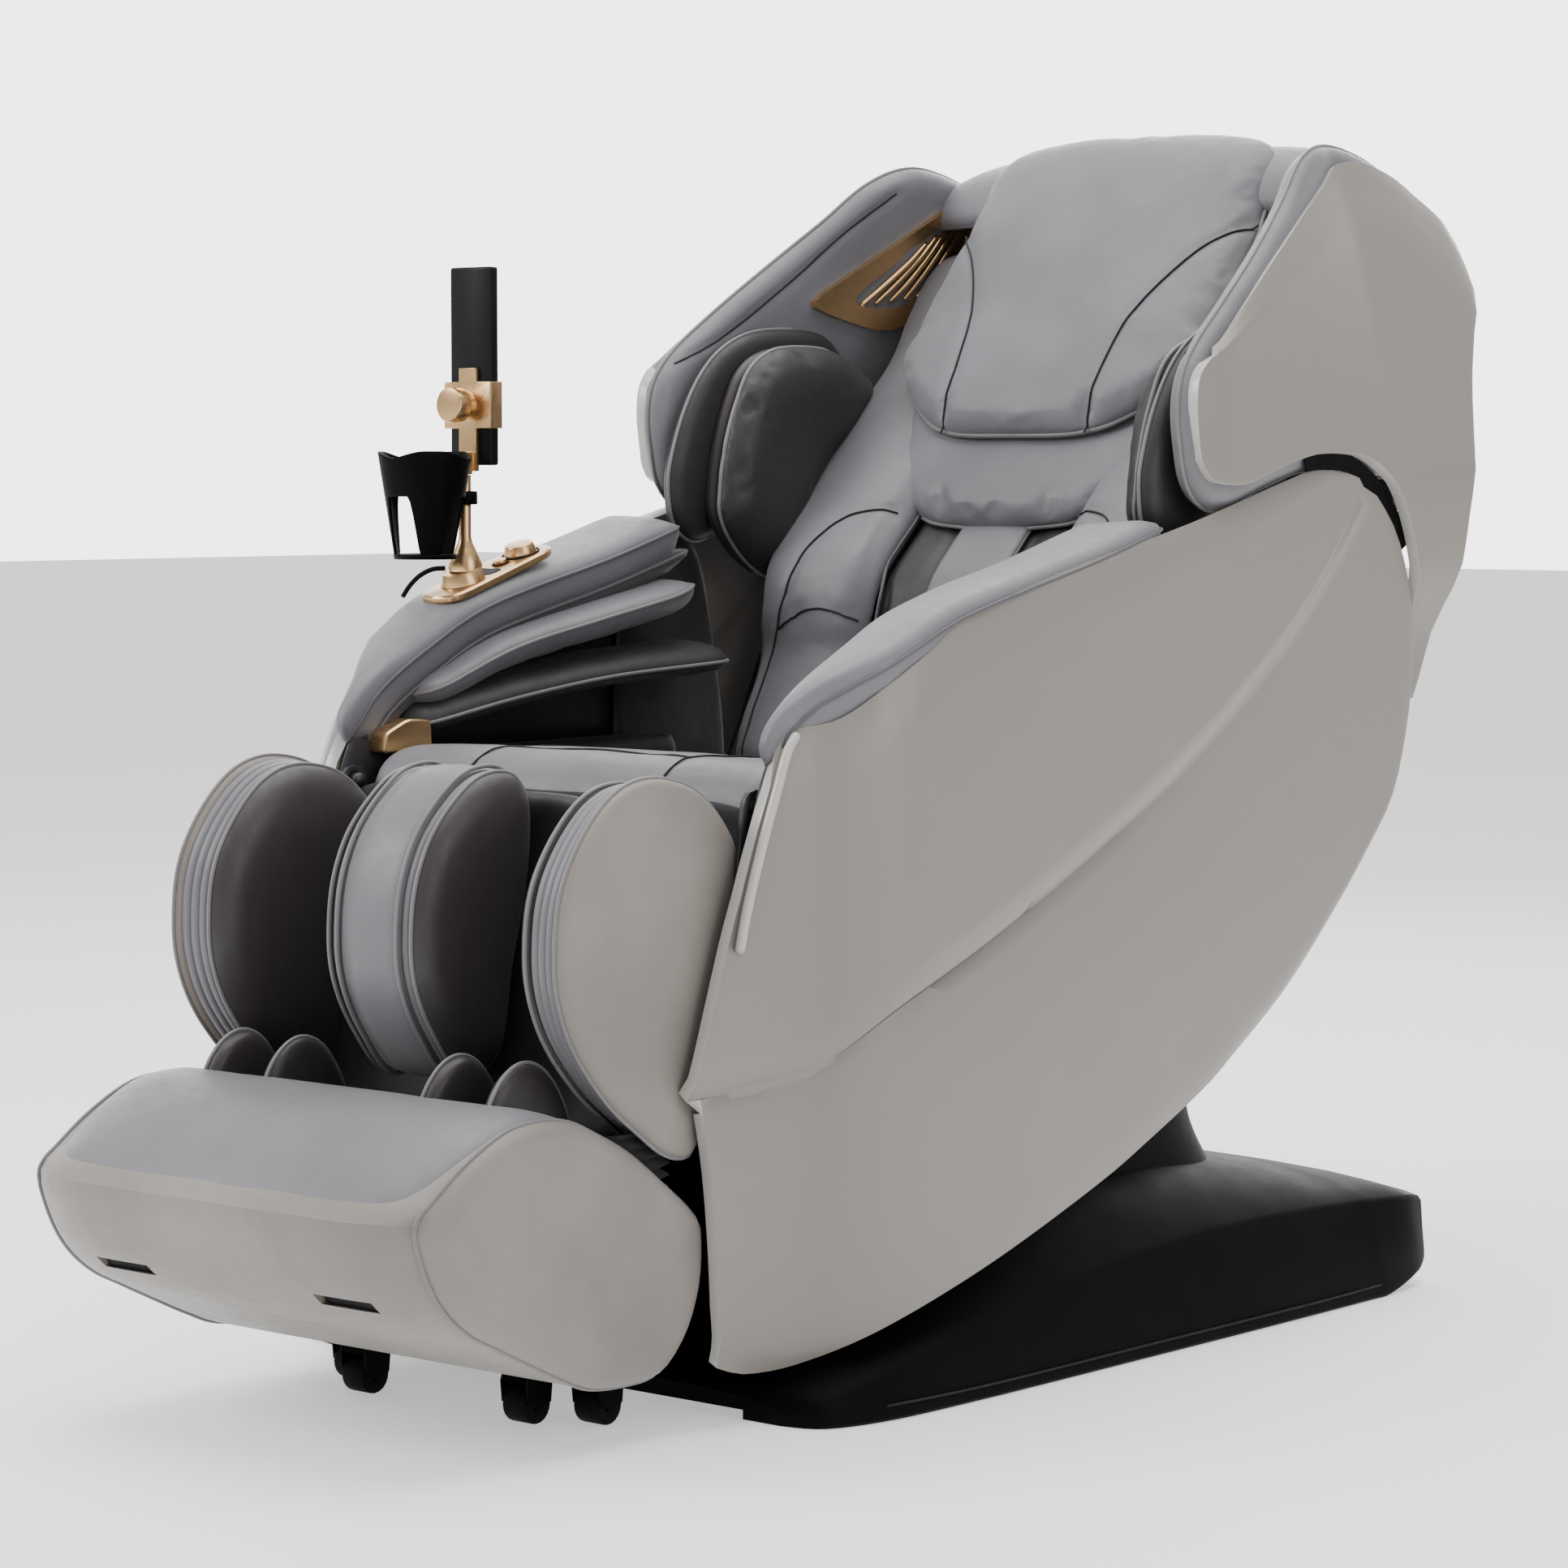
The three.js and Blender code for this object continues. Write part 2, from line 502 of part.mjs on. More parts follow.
function buildBackrest() {
  addPair("wing", alongWing(WING_ROWS, 0, 14, 4), SHELL);
  addPair("wing_pad", alongWing(WING_PAD_ROWS, 16, 34, 6), LEATHER);
  const grilleRows = [[292, 1062, 1074], [312, 1054, 1092], [400, 1046, 1134], [480, 1080, 1176], [540, 1150, 1192]];
  addPair("speaker_grille", alongWing(grilleRows, 60, 6, 1), GOLD);

  const outerBag = [[80, 858, 905], [100, 834, 945], [140, 820, 1000], [220, 836, 1030], [286, 896, 1026]];
  const innerBag = [[108, 850, 905], [130, 820, 950], [180, 812, 1005], [250, 858, 1020], [300, 925, 1000]];
  const bag = (rows, x0, x1) =>
    slab([...rows.map(([y, low]) => [y, low, 12]), ...rows.map(([y, , high]) => [y, high, 12]).reverse()], x0, x1, 6);
  addPair("shoulder_airbag", join(bag(outerBag, 280, 310), bag(innerBag, 246, 286)), LEATHER_DARK);

  // Main back pad: reclined upper stretch, lumbar bulge, and a tail that ends above the seat cushion.
  const frontLine = [[81, 561], [140, 650], [158, 722], [180, 775], [243, 835], [307, 900], [406, 1001], [500, 1128]];
  const front = spline(frontLine, 14);
  const behind = front.slice(1).map(([y, z]) => [y + 42, z]).reverse();
  add("back_pad", slab([...front, ...behind, [123, 562]], -212, 212, 8, 1), LEATHER_DARK);

  const neck = [
    [202, 820, 6], [216, 846, 20], [266, 914], [340, 1014, 8],
    [354, 1008, 6], [292, 922], [242, 850, 20], [218, 820, 6],
  ];
  add("neck_pad", slab(neck, -182, 182), LEATHER);

  const pillow = [
    [224, 908, 20], [240, 944, 20], [340, 1066], [440, 1190, 20], [466, 1204, 16],
    [494, 1178, 20], [446, 1160, 10], [295, 962, 10], [262, 930, 10], [248, 912, 10],
  ];
  add("head_pillow", slab(pillow, -212, 212, 3, 2), LEATHER);

  const crown = [
    [466, 1210, 6], [474, 1228, 20], [540, 1222, 30], [600, 1176, 20],
    [592, 1160, 8], [540, 1196, 20], [500, 1200, 10],
  ];
  add("crown_pad", slab(crown, -252, 252), LEATHER);

  const outside = [[606, 1150], [640, 1120], [648, 1070], [622, 1000], [584, 860], [548, 770], [500, 650], [470, 560]];
  const inside = [[458, 566], [488, 656], [536, 776], [572, 864], [610, 1004], [634, 1070], [626, 1112], [598, 1140]];
  add("rear_shell", slab([...outside, ...inside], -266, 266, 0, 1), SHELL);

  // Welded back frame: two leaning rails with ears, cross tubes and the recline pivot tube.
  const rail = (side) => slab(RAIL, side > 0 ? 222 : -234, side > 0 ? 234 : -222);
  const pin = crossTube(...RECLINE, 11.5, -352, 352, 16);
  const tubes = [[405, 847], [548, 1046]].map(([y, z]) => crossTube(y, z, 10, -230, 230, 12));
  add("back_frame", join(rail(1), rail(-1), pin, ...tubes), STEEL);
  buildMassageDrive();
}

// The massage carriage rides up and down behind the back pad on the frame's inclined rails.
function buildMassageDrive() {
  const alongRail = (geometry) => geometry.rotateX(-LEAN).translate(0, 382, 876);
  const shoe = (side) => box([side * 212 - 8, 0, -40], [side * 212 + 8, 22, 40]);
  const beam = box([-206, 4, -14], [206, 18, 14]);
  const plate = box([-120, -6, -46], [120, 16, 46]);
  const ear = (x) => box([x - 3, -31, -9], [x + 3, -4, 9]);
  const ears = [-92, -32, 32, 92].map(ear);
  const bore = crossTube(-22, 0, 5, -110, 110, 12);
  add("massage_carriage", alongRail(cut(join(shoe(1), shoe(-1), beam, plate, ...ears), bore)), STEEL);
  const roller = (side) => crossTube(-22, 0, 14, side * 62 - 22, side * 62 + 22, 20);
  add("kneading_rollers", alongRail(join(roller(1), roller(-1), crossTube(-22, 0, 4, -98, 98, 12))), RUBBER);
}

// ---- Leg rest -------------------------------------------------------------------------------------------------
const CALF_SIDE = [
  [-648, 595, 30], [-600, 612, 40], [-546, 602, 40], [-504, 554, 20], [-494, 504, 20],
  [-522, 375, 30], [-546, 272, 10], [-576, 272, 20], [-660, 330, 40], [-704, 392, 40], [-722, 460, 60], [-708, 530, 50],
];

// A cylinder that lies along the leg slide, from one height to another, at a given x.
function slideRod(x, radius, [y0, z0], length) {
  const tilt = Math.atan2(LEG_SLIDE[0], LEG_SLIDE[1]);
  const rod = new THREE.CylinderGeometry(radius, radius, length, 12).rotateX(Math.PI / 2).rotateX(-tilt);
  return rod.translate(x, y0 + (LEG_SLIDE[0] * length) / 2, z0 + (LEG_SLIDE[1] * length) / 2);
}

function buildCalfRest() {
  addPair("calf_bolster", slab(CALF_SIDE, BOLSTER_IN, LEG_HALF - 2, 6), LEATHER);
  const middle = [
    [-636, 600, 30], [-590, 612, 30], [-556, 600, 20], [-552, 500, 20], [-586, 330, 12], [-640, 318, 20],
    [-690, 372, 40], [-712, 450, 50], [-696, 530, 50],
  ];
  add("calf_bolster_middle", slab(middle, -MID_BOLSTER_HALF, MID_BOLSTER_HALF, 3), LEATHER);
  const lining = [
    [-548, 592, 6], [-532, 582, 6], [-524, 504, 20], [-552, 375],
    [-574, 300, 6], [-586, 300, 6], [-562, 375], [-540, 504, 20],
  ];
  const half = BOLSTER_IN - GAP;
  add("calf_pad", slab(lining, -half, half), LEATHER_DARK);
  const shell = [
    [-490, 562, 6], [-484, 586, 10], [-458, 586, 10], [-462, 540, 10], [-470, 498, 20], [-498, 374], [-522, 266, 4],
    [-532, 268, 4], [-508, 376], [-480, 502, 20],
  ];
  const hinge = crossTube(...KNEE, 8, -267, 267, 16);
  add("calf_frame", join(slab(shell, -LEG_HALF + 4, LEG_HALF - 4), hinge), BLACK);
}

const FOOT_SIDE = [
  [-938, 236, 14], [-905, 268, 30], [-826, 308, 40], [-723, 312, 50], [-650, 278, 40], [-560, 214, 14], [-548, 150, 30],
  [-566, 98, 30], [-600, 66, 30], [-680, 62, 40], [-776, 96, 60], [-880, 142, 40], [-924, 186, 30],
];
const CASTERS = [[160, -572], [107, -612]]; // (x, y) of the floor rollers, mirrored
const CASTER_R = 18;
const ROD_FOOT = [-580.7, 150]; // lower end (y, z) of the two slide rods

function buildFootUnit() {
  const well = (side) => {
    const plan = [[-60, -780, 50], [60, -780, 50], [60, -598, 30], [-60, -598, 30]];
    return block(plan.map(([x, y, r]) => [side * 145 + x, y, r]), 112, 420);
  };
  const vent = (side) => box([side * 145 - 32, -960, 150], [side * 145 + 32, -850, 158]);
  const padPocket = slab([[-980, 228], [-905, 254], [-826, 294], [-702, 303], [-702, 400], [-980, 400]], -238, 238);
  const fork = ([x, y], side) => {
    const cheekBox = (dx) => box([side * x + dx - 3, y - 8, CASTER_R - 6], [side * x + dx + 3, y + 8, 108]);
    const axle = crossTube(y, CASTER_R + 0.6, 4, side * x - 18, side * x + 18, 10);
    return join(cheekBox(-19), cheekBox(19), axle);
  };
  const forks = CASTERS.flatMap((place) => [fork(place, 1), fork(place, -1)]);
  const rods = [1, -1].map((side) => slideRod(side * 125, 8, ROD_FOOT, 300));
  const rodBores = [1, -1].map((side) => slideRod(side * 125, 8.6, [ROD_FOOT[0] - 0.1, ROD_FOOT[1] - 0.4], 300));
  // The front corners are rounded in plan.
  const corner = (side, inset) => {
    const plan = [[270, -960], [270, -800], [258, -832], [252, -872], [236, -908], [200, -960]];
    return block(plan.map(([x, y]) => [side * (x - inset), y]), 0, 500);
  };
  const hollows = [well(1), well(-1), vent(1), vent(-1), padPocket, ...rodBores];
  const body = cut(slab(FOOT_SIDE, -LEG_HALF + 2, LEG_HALF - 2, 6), ...hollows, corner(1, 0), corner(-1, 0));
  add("foot_shell", join(body, ...forks), LEATHER_PALE);
  add("foot_rods", join(...rods, box([-125, -568, 232], [125, -554, 248])), STEEL);
  const pad = [
    [-932, 246.5, 4], [-905, 256.5], [-826, 296.5], [-704, 305.5],
    [-706, 320, 6], [-826, 316, 40], [-905, 280, 20], [-934, 258, 4],
  ];
  add("foot_pad", cut(slab(pad, -236, 236), corner(1, 6), corner(-1, 6)), LEATHER);
  CASTERS.forEach(([x, y], i) => {
    const height = CASTER_R + 0.6;
    const axleBore = crossTube(y, height, 5, x - 20, x + 20, 12);
    const wheel = cut(crossTube(y, height, CASTER_R, x - 14, x + 14, 20), axleBore);
    addPair(["caster_outer", "caster_inner"][i], wheel, RUBBER);
  });
}

buildBase();
buildSeat();
buildBackrest();
buildCalfRest();
buildFootUnit();

export default chair;
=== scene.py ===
# A full-body massage chair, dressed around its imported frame. The scene is in metres and +Z is up.
# The sitter faces -Y and +X is the sitter's left. Outlines are (y, z) or (u, v) points in millimetres.
import math

import bmesh
import bpy
import numpy as np
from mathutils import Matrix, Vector, noise
from mathutils.bvhtree import BVHTree


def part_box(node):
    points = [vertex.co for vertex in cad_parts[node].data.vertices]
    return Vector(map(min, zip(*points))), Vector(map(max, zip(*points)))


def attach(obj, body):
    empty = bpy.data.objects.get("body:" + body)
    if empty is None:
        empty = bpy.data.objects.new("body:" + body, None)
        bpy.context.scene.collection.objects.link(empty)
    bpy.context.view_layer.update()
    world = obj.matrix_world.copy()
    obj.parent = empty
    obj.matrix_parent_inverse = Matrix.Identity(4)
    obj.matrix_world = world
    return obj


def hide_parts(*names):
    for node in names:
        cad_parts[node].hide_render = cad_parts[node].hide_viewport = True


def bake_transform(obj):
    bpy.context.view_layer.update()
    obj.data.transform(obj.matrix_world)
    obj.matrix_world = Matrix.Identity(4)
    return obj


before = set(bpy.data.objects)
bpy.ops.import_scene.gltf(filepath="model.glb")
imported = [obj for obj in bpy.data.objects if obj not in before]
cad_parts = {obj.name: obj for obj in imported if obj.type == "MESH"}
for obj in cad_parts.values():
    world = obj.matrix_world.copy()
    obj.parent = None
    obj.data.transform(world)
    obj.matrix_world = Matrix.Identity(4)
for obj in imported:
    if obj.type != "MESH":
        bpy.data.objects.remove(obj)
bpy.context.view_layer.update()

# Driving places and sizes, in millimetres unless a line says otherwise.
MM = 0.001  # one millimetre in the scene's metres
EYE = (2979, -3604, 888)  # the camera
SHELL_OUT = 388  # outer face of the side shells, from the middle plane
SHELL_WALL = 13
PANEL_WALL = 11
CREASE_IN, CREASE_DROP = 13, 17  # how far the shell's lower face lies in and down at the crease
RECLINE = (300, 718)  # backrest pivot (y, z)
KNEE = (-470, 575)  # leg rest pivot (y, z)
ARM_IN, ARM_OUT = 270, 371  # inner and outer edge of an arm
FOOT_HALF = 262  # half width of the foot rest
FOOT_CORNER, FOOT_CORNER_PULL = 150, 62  # where its rounded front corners start, and how far they fall back
WELL_X = 145  # middle of a foot well
POST = (-306, -268)  # controller post (x, y)
SIDES = ((1, "left"), (-1, "right"))

# ---- Camera, floor and light ------------------------------------------------------------------------------
AZIMUTH, ELEVATION = math.radians(40.515), math.radians(4.032)
camera_data = bpy.data.cameras.new("camera")
camera_data.lens = 103.5
camera_data.sensor_width = 36
camera_data.clip_end = 60
camera = bpy.data.objects.new("camera", camera_data)
bpy.context.scene.collection.objects.link(camera)
camera.location = (2.97915, -3.60443, 0.88755)
level = math.cos(ELEVATION)
back = Vector((math.sin(AZIMUTH) * level, -math.cos(AZIMUTH) * level, math.sin(ELEVATION)))
camera.rotation_euler = (-back).to_track_quat("-Z", "Y").to_euler()
bpy.context.scene.camera = camera


def mat_nodes(name):
    mat = bpy.data.materials.new(name)
    mat.use_nodes = True
    tree = mat.node_tree
    shader = tree.nodes["Principled BSDF"]
    coords = tree.nodes.new("ShaderNodeTexCoord").outputs["Object"]
    return mat, tree, shader, coords


def tex(tree, coords, kind, scale, detail=2.0, stretch=None):
    node = tree.nodes.new("ShaderNodeTex" + kind)
    node.inputs["Scale"].default_value = scale
    if "Detail" in node.inputs:
        node.inputs["Detail"].default_value = detail
    if stretch:
        mapping = tree.nodes.new("ShaderNodeMapping")
        mapping.inputs["Scale"].default_value = stretch
        tree.links.new(coords, mapping.inputs["Vector"])
        coords = mapping.outputs["Vector"]
    tree.links.new(coords, node.inputs["Vector"])
    return node


def ramp(tree, value, low, high, a=0.0, b=1.0):
    node = tree.nodes.new("ShaderNodeMapRange")
    node.inputs["From Min"].default_value = low
    node.inputs["From Max"].default_value = high
    node.inputs["To Min"].default_value = a
    node.inputs["To Max"].default_value = b
    tree.links.new(value, node.inputs["Value"])
    return node.outputs["Result"]


def mix_color(tree, factor, a, b):
    node = tree.nodes.new("ShaderNodeMix")
    node.data_type = "RGBA"
    if isinstance(factor, float):
        node.inputs[0].default_value = factor
    else:
        tree.links.new(factor, node.inputs[0])
    for socket, value in ((node.inputs[6], a), (node.inputs[7], b)):
        if isinstance(value, tuple):
            socket.default_value = (*value, 1)
        else:
            tree.links.new(value, socket)
    return node.outputs[2]


def bump(tree, shader, height, strength, distance, base=None):
    node = tree.nodes.new("ShaderNodeBump")
    node.inputs["Strength"].default_value = strength
    node.inputs["Distance"].default_value = distance
    tree.links.new(height, node.inputs["Height"])
    if base is not None:
        tree.links.new(base, node.inputs["Normal"])
    tree.links.new(node.outputs["Normal"], shader.inputs["Normal"])
    return node.outputs["Normal"]


def leather(name, color, rough=0.5, grain=1.0, sheen=0.12):
    mat, tree, shader, coords = mat_nodes(name)
    pebble = tex(tree, coords, "Voronoi", 620)
    fine = tex(tree, coords, "Noise", 1500, 3)
    cloud = tex(tree, coords, "Noise", 7, 4)
    crease = tex(tree, coords, "Noise", 60, 5, (1, 1.6, 0.8))
    dark = tuple(c * 0.86 for c in color)
    light = tuple(min(1, c * 1.08) for c in color)
    tone = mix_color(tree, ramp(tree, cloud.outputs["Fac"], 0.35, 0.65), dark, light)
    pores = ramp(tree, pebble.outputs["Distance"], 0.0, 0.5, 0.78, 1.0)
    pore_tint = tree.nodes.new("ShaderNodeMix")
    pore_tint.data_type = "RGBA"
    pore_tint.blend_type = "MULTIPLY"
    pore_tint.inputs[0].default_value = 0.35
    tree.links.new(tone, pore_tint.inputs[6])
    tree.links.new(pores, pore_tint.inputs[7])
    tree.links.new(pore_tint.outputs[2], shader.inputs["Base Color"])
    tree.links.new(ramp(tree, crease.outputs["Fac"], 0.3, 0.7, rough - 0.06, rough + 0.08),
        shader.inputs["Roughness"])
    normal = bump(tree, shader, pebble.outputs["Distance"], 0.16 * grain, 0.0005)
    normal = bump(tree, shader, fine.outputs["Fac"], 0.08 * grain, 0.0003, normal)
    bump(tree, shader, crease.outputs["Fac"], 0.10 * grain, 0.0012, normal)
    shader.inputs["Sheen Weight"].default_value = sheen
    shader.inputs["Sheen Roughness"].default_value = 0.5
    shader.inputs["Specular IOR Level"].default_value = 0.42
    return mat


def moulded(name, color, rough=0.35, coat=0.0, flake=0.0, texture=0.05, specular=0.45):
    mat, tree, shader, coords = mat_nodes(name)
    cloud = tex(tree, coords, "Noise", 3.5, 3)
    speck = tex(tree, coords, "Noise", 1800, 2)
    smudge = tex(tree, coords, "Noise", 22, 5)
    tone = mix_color(tree, ramp(tree, cloud.outputs["Fac"], 0.3, 0.7), tuple(c * 0.965 for c in color), color)
    bright = tuple(min(1, c * (1 + flake)) for c in color)
    tone = mix_color(tree, ramp(tree, speck.outputs["Fac"], 0.45, 0.75), tone, bright)
    tree.links.new(tone, shader.inputs["Base Color"])
    tree.links.new(ramp(tree, smudge.outputs["Fac"], 0.3, 0.7, rough - 0.04, rough + 0.05),
        shader.inputs["Roughness"])
    bump(tree, shader, speck.outputs["Fac"], texture, 0.0002)
    shader.inputs["Specular IOR Level"].default_value = specular
    shader.inputs["Coat Weight"].default_value = coat
    shader.inputs["Coat Roughness"].default_value = 0.18
    return mat


def metal(name, color, rough=0.3, brushed=(1, 1, 1)):
    mat, tree, shader, coords = mat_nodes(name)
    grain = tex(tree, coords, "Noise", 900, 3, brushed)
    cloud = tex(tree, coords, "Noise", 12, 3)
    tone = mix_color(tree, ramp(tree, cloud.outputs["Fac"], 0.3, 0.7), tuple(c * 0.9 for c in color), color)
    tree.links.new(tone, shader.inputs["Base Color"])
    tree.links.new(ramp(tree, grain.outputs["Fac"], 0.3, 0.7, rough - 0.07, rough + 0.08),
        shader.inputs["Roughness"])
    bump(tree, shader, grain.outputs["Fac"], 0.05, 0.0002)
    shader.inputs["Metallic"].default_value = 0.92
    return mat


SHELL = moulded("shell_paint", (0.200, 0.181, 0.162), 0.38, 0.2, 0.05, 0.03)
# A lighter copy of the shell paint for the shells' rims and the arm caps: a painted highlight along their
# edges.
SHELL_RIM_HIGHLIGHT = moulded("shell_rim_painted_highlight", (0.42, 0.40, 0.375), 0.30, 0.3, 0.05, 0.03)
GREY = leather("leather_grey", (0.135, 0.132, 0.145), 0.46)
DARK = leather("leather_dark", (0.0165, 0.0155, 0.017), 0.50, 1.0, 0.04)
TAUPE = leather("leather_taupe", (0.031, 0.0255, 0.0255), 0.42, 1.0, 0.05)
PALE = leather("leather_pale", (0.195, 0.175, 0.155), 0.46)
SIDE = leather("leather_side", (0.052, 0.050, 0.056), 0.48)
PIPE = leather("leather_piping", (0.16, 0.152, 0.155), 0.40, 0.6)
PIPE_DARK = leather("leather_piping_dark", (0.070, 0.067, 0.073), 0.42, 0.6)
SEAM = leather("seam_shadow", (0.006, 0.006, 0.007), 0.8, 0.5, 0.0)
GOLD = metal("champagne_gold", (0.62, 0.40, 0.195), 0.26, (1, 1, 6))
BLACK = moulded("black_plastic", (0.0012, 0.0012, 0.0014), 0.55, 0.0, 0.25, 0.10, 0.06)
SCREEN = moulded("controller_body", (0.004, 0.0043, 0.005), 0.42, 0.0, 0.1, 0.04, 0.14)
RUBBER = moulded("rubber", (0.002, 0.002, 0.002), 0.65, 0.0, 0.2, 0.15, 0.10)
STEEL = metal("painted_steel", (0.06, 0.062, 0.065), 0.5)
CLOTH_BLACK = leather("gaiter_cloth", (0.006, 0.006, 0.007), 0.8, 0.8, 0.05)


def light(name, place, aim, energy, size):
    data = bpy.data.lights.new(name, "AREA")
    data.energy = energy
    data.shape = "RECTANGLE"
    data.size, data.size_y = size
    lamp = bpy.data.objects.new(name, data)
    lamp.location = place
    lamp.rotation_euler = (Vector(aim) - Vector(place)).to_track_quat("-Z", "Y").to_euler()
    bpy.context.scene.collection.objects.link(lamp)


light("key", (-2.6, -3.4, 3.0), (0, -0.1, 0.6), 150, (2.0, 2.0))
light("top", (0.0, 0.2, 4.6), (0, 0, 0), 330, (5.0, 5.0))
light("fill_right", (4.4, -0.8, 2.0), (0, 0, 0.5), 60, (2.6, 2.6))
light("rim_back", (-1.6, 3.6, 2.6), (0, 0.2, 0.8), 60, (3.0, 1.6))
world = bpy.data.worlds.new("studio")
world.use_nodes = True
world_tree = world.node_tree
sky = world_tree.nodes["Background"]
sky.inputs[0].default_value = (1, 1, 1, 1)
# The studio's far wall, behind the chair, is brighter than its ceiling and sides.
direction = world_tree.nodes.new("ShaderNodeTexCoord").outputs["Generated"]
dot = world_tree.nodes.new("ShaderNodeVectorMath")
dot.operation = "DOT_PRODUCT"
dot.inputs[1].default_value = (-0.65, 0.76, 0.0)
world_tree.links.new(direction, dot.inputs[0])
world_tree.links.new(ramp(world_tree, dot.outputs["Value"], 0.55, 0.95, 0.60, 4.2), sky.inputs[1])
bpy.context.scene.world = world

floor_mat, floor_tree, floor_shader, floor_coords = mat_nodes("studio_floor")
floor_noise = tex(floor_tree, floor_coords, "Noise", 4, 3)
floor_tone = mix_color(floor_tree, floor_noise.outputs["Fac"], (0.72, 0.72, 0.72), (0.75, 0.75, 0.75))
floor_tree.links.new(floor_tone, floor_shader.inputs["Base Color"])
floor_shader.inputs["Roughness"].default_value = 0.9
floor_shader.inputs["Emission Color"].default_value = (1, 1, 1, 1)
floor_shader.inputs["Emission Strength"].default_value = 0.55
bpy.ops.mesh.primitive_plane_add(size=60, location=(0, 0, -0.0005))
floor = bpy.context.object
floor.name = "studio_floor"
floor.data.materials.append(floor_mat)


# ---- Mesh helpers -----------------------------------------------------------------------------------------
def mesh_object(name, verts, faces, mat, body, smooth=True):
    mesh = bpy.data.meshes.new(name)
    mesh.from_pydata([tuple(c * MM for c in v) for v in verts], [], faces)
    mesh.validate()
    mesh.update()
    made = bpy.data.objects.new(name, mesh)
    bpy.context.scene.collection.objects.link(made)
    mesh.materials.append(mat)
    if smooth:
        smooth_shaded(mesh)
    if body:
        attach(made, body)
    return made


def grid_faces(columns, rows):
    """Quads of a grid of points, listed row by row."""
    corners = [j * columns + i for j in range(rows - 1) for i in range(columns - 1)]
    return [(a, a + 1, a + 1 + columns, a + columns) for a in corners]


def face_along(made, axis, sign, weld=0.0):
    """Joins an open skin's doubled points and turns its faces towards one side."""
    work = bmesh.new()
    work.from_mesh(made.data)
    if weld:
        bmesh.ops.remove_doubles(work, verts=work.verts, dist=weld)
    bmesh.ops.recalc_face_normals(work, faces=work.faces)
    if sum(f.normal[axis] * sign * f.calc_area() for f in work.faces) < 0:
        bmesh.ops.reverse_faces(work, faces=work.faces)
    work.to_mesh(made.data)
    work.free()


def add_wall(made, thickness, rim_material=0):
    """Gives an open skin a wall, inwards from its outer face."""
    wall = made.modifiers.new("wall", "SOLIDIFY")
    wall.thickness = thickness * MM
    wall.offset = -1
    wall.material_offset_rim = rim_material


def baked(made):
    """The mesh that an object's modifiers make of it."""
    graph = bpy.context.evaluated_depsgraph_get()
    return bpy.data.meshes.new_from_object(made.evaluated_get(graph))


def smooth_shaded(mesh, sharp=None):
    mesh.polygons.foreach_set("use_smooth", [True] * len(mesh.polygons))
    if sharp:
        mesh.set_sharp_from_angle(angle=math.radians(sharp))


def outward(made):
    """Turns a closed mesh's faces outwards."""
    work = bmesh.new()
    work.from_mesh(made.data)
    bmesh.ops.recalc_face_normals(work, faces=work.faces)
    work.to_mesh(made.data)
    work.free()
    return made


def add_subsurf(made, levels=1):
    mod = made.modifiers.new("smooth", "SUBSURF")
    mod.levels = mod.render_levels = levels
    return made


def add_bevel(made, width, segments=3, angle=35):
    mod = made.modifiers.new("edges", "BEVEL")
    mod.width = width * MM
    mod.segments = segments
    mod.limit_method = "ANGLE"
    mod.angle_limit = math.radians(angle)
    mod.harden_normals = False
    return made


def catmull_point(a, b, c, d, t):
    """The Catmull-Rom curve's place at t between b and c."""
    bend = (2 * a - 5 * b + 4 * c - d) * t * t + (3 * b - a - 3 * c + d) * t**3
    return 0.5 * ((2 * b) + (c - a) * t + bend)


def catmull(points, count, closed=False):
    """`count` points evenly spread by length along a Catmull-Rom curve through `points`."""
    pts = [Vector(p) for p in points]
    n = len(pts)
    fine = []
    spans = n if closed else n - 1
    for i in range(spans):
        if closed:
            a, b, c, d = (pts[(i + k) % n] for k in (-1, 0, 1, 2))
        else:
            b, c = pts[i], pts[i + 1]
            a = pts[i - 1] if i else b * 2 - c
            d = pts[i + 2] if i + 2 < n else c * 2 - b
        for k in range(12):
            fine.append(catmull_point(a, b, c, d, k / 12))
    fine.append(pts[0].copy() if closed else pts[-1].copy())
    lengths = [0.0]
    for p, q in zip(fine, fine[1:]):
        lengths.append(lengths[-1] + (q - p).length)
    total = lengths[-1]
    out, j = [], 0
    steps = count if closed else count - 1
    for i in range(count):
        target = total * i / steps
        while j < len(lengths) - 2 and lengths[j + 1] < target:
            j += 1
        span = lengths[j + 1] - lengths[j]
        t = (target - lengths[j]) / span if span else 0
        out.append(fine[j].lerp(fine[j + 1], min(1, max(0, t))))
    return out


def loft(name, rings, mat, body, capped=True, subsurf=1):
    """Quads between rings of equally many (x, y, z) points; the ends are closed by a face each."""
    n = len(rings[0])
    verts = [tuple(p) for ring in rings for p in ring]
    faces = []
    for r in range(len(rings) - 1):
        for i in range(n):
            a, b = r * n + i, r * n + (i + 1) % n
            faces.append((a, b, b + n, a + n))
    if capped:
        faces.append(tuple(range(n)))
        last = (len(rings) - 1) * n
        faces.append(tuple(last + i for i in range(n)))
    made = outward(mesh_object(name, verts, faces, mat, body))
    return add_subsurf(made, subsurf) if subsurf else made


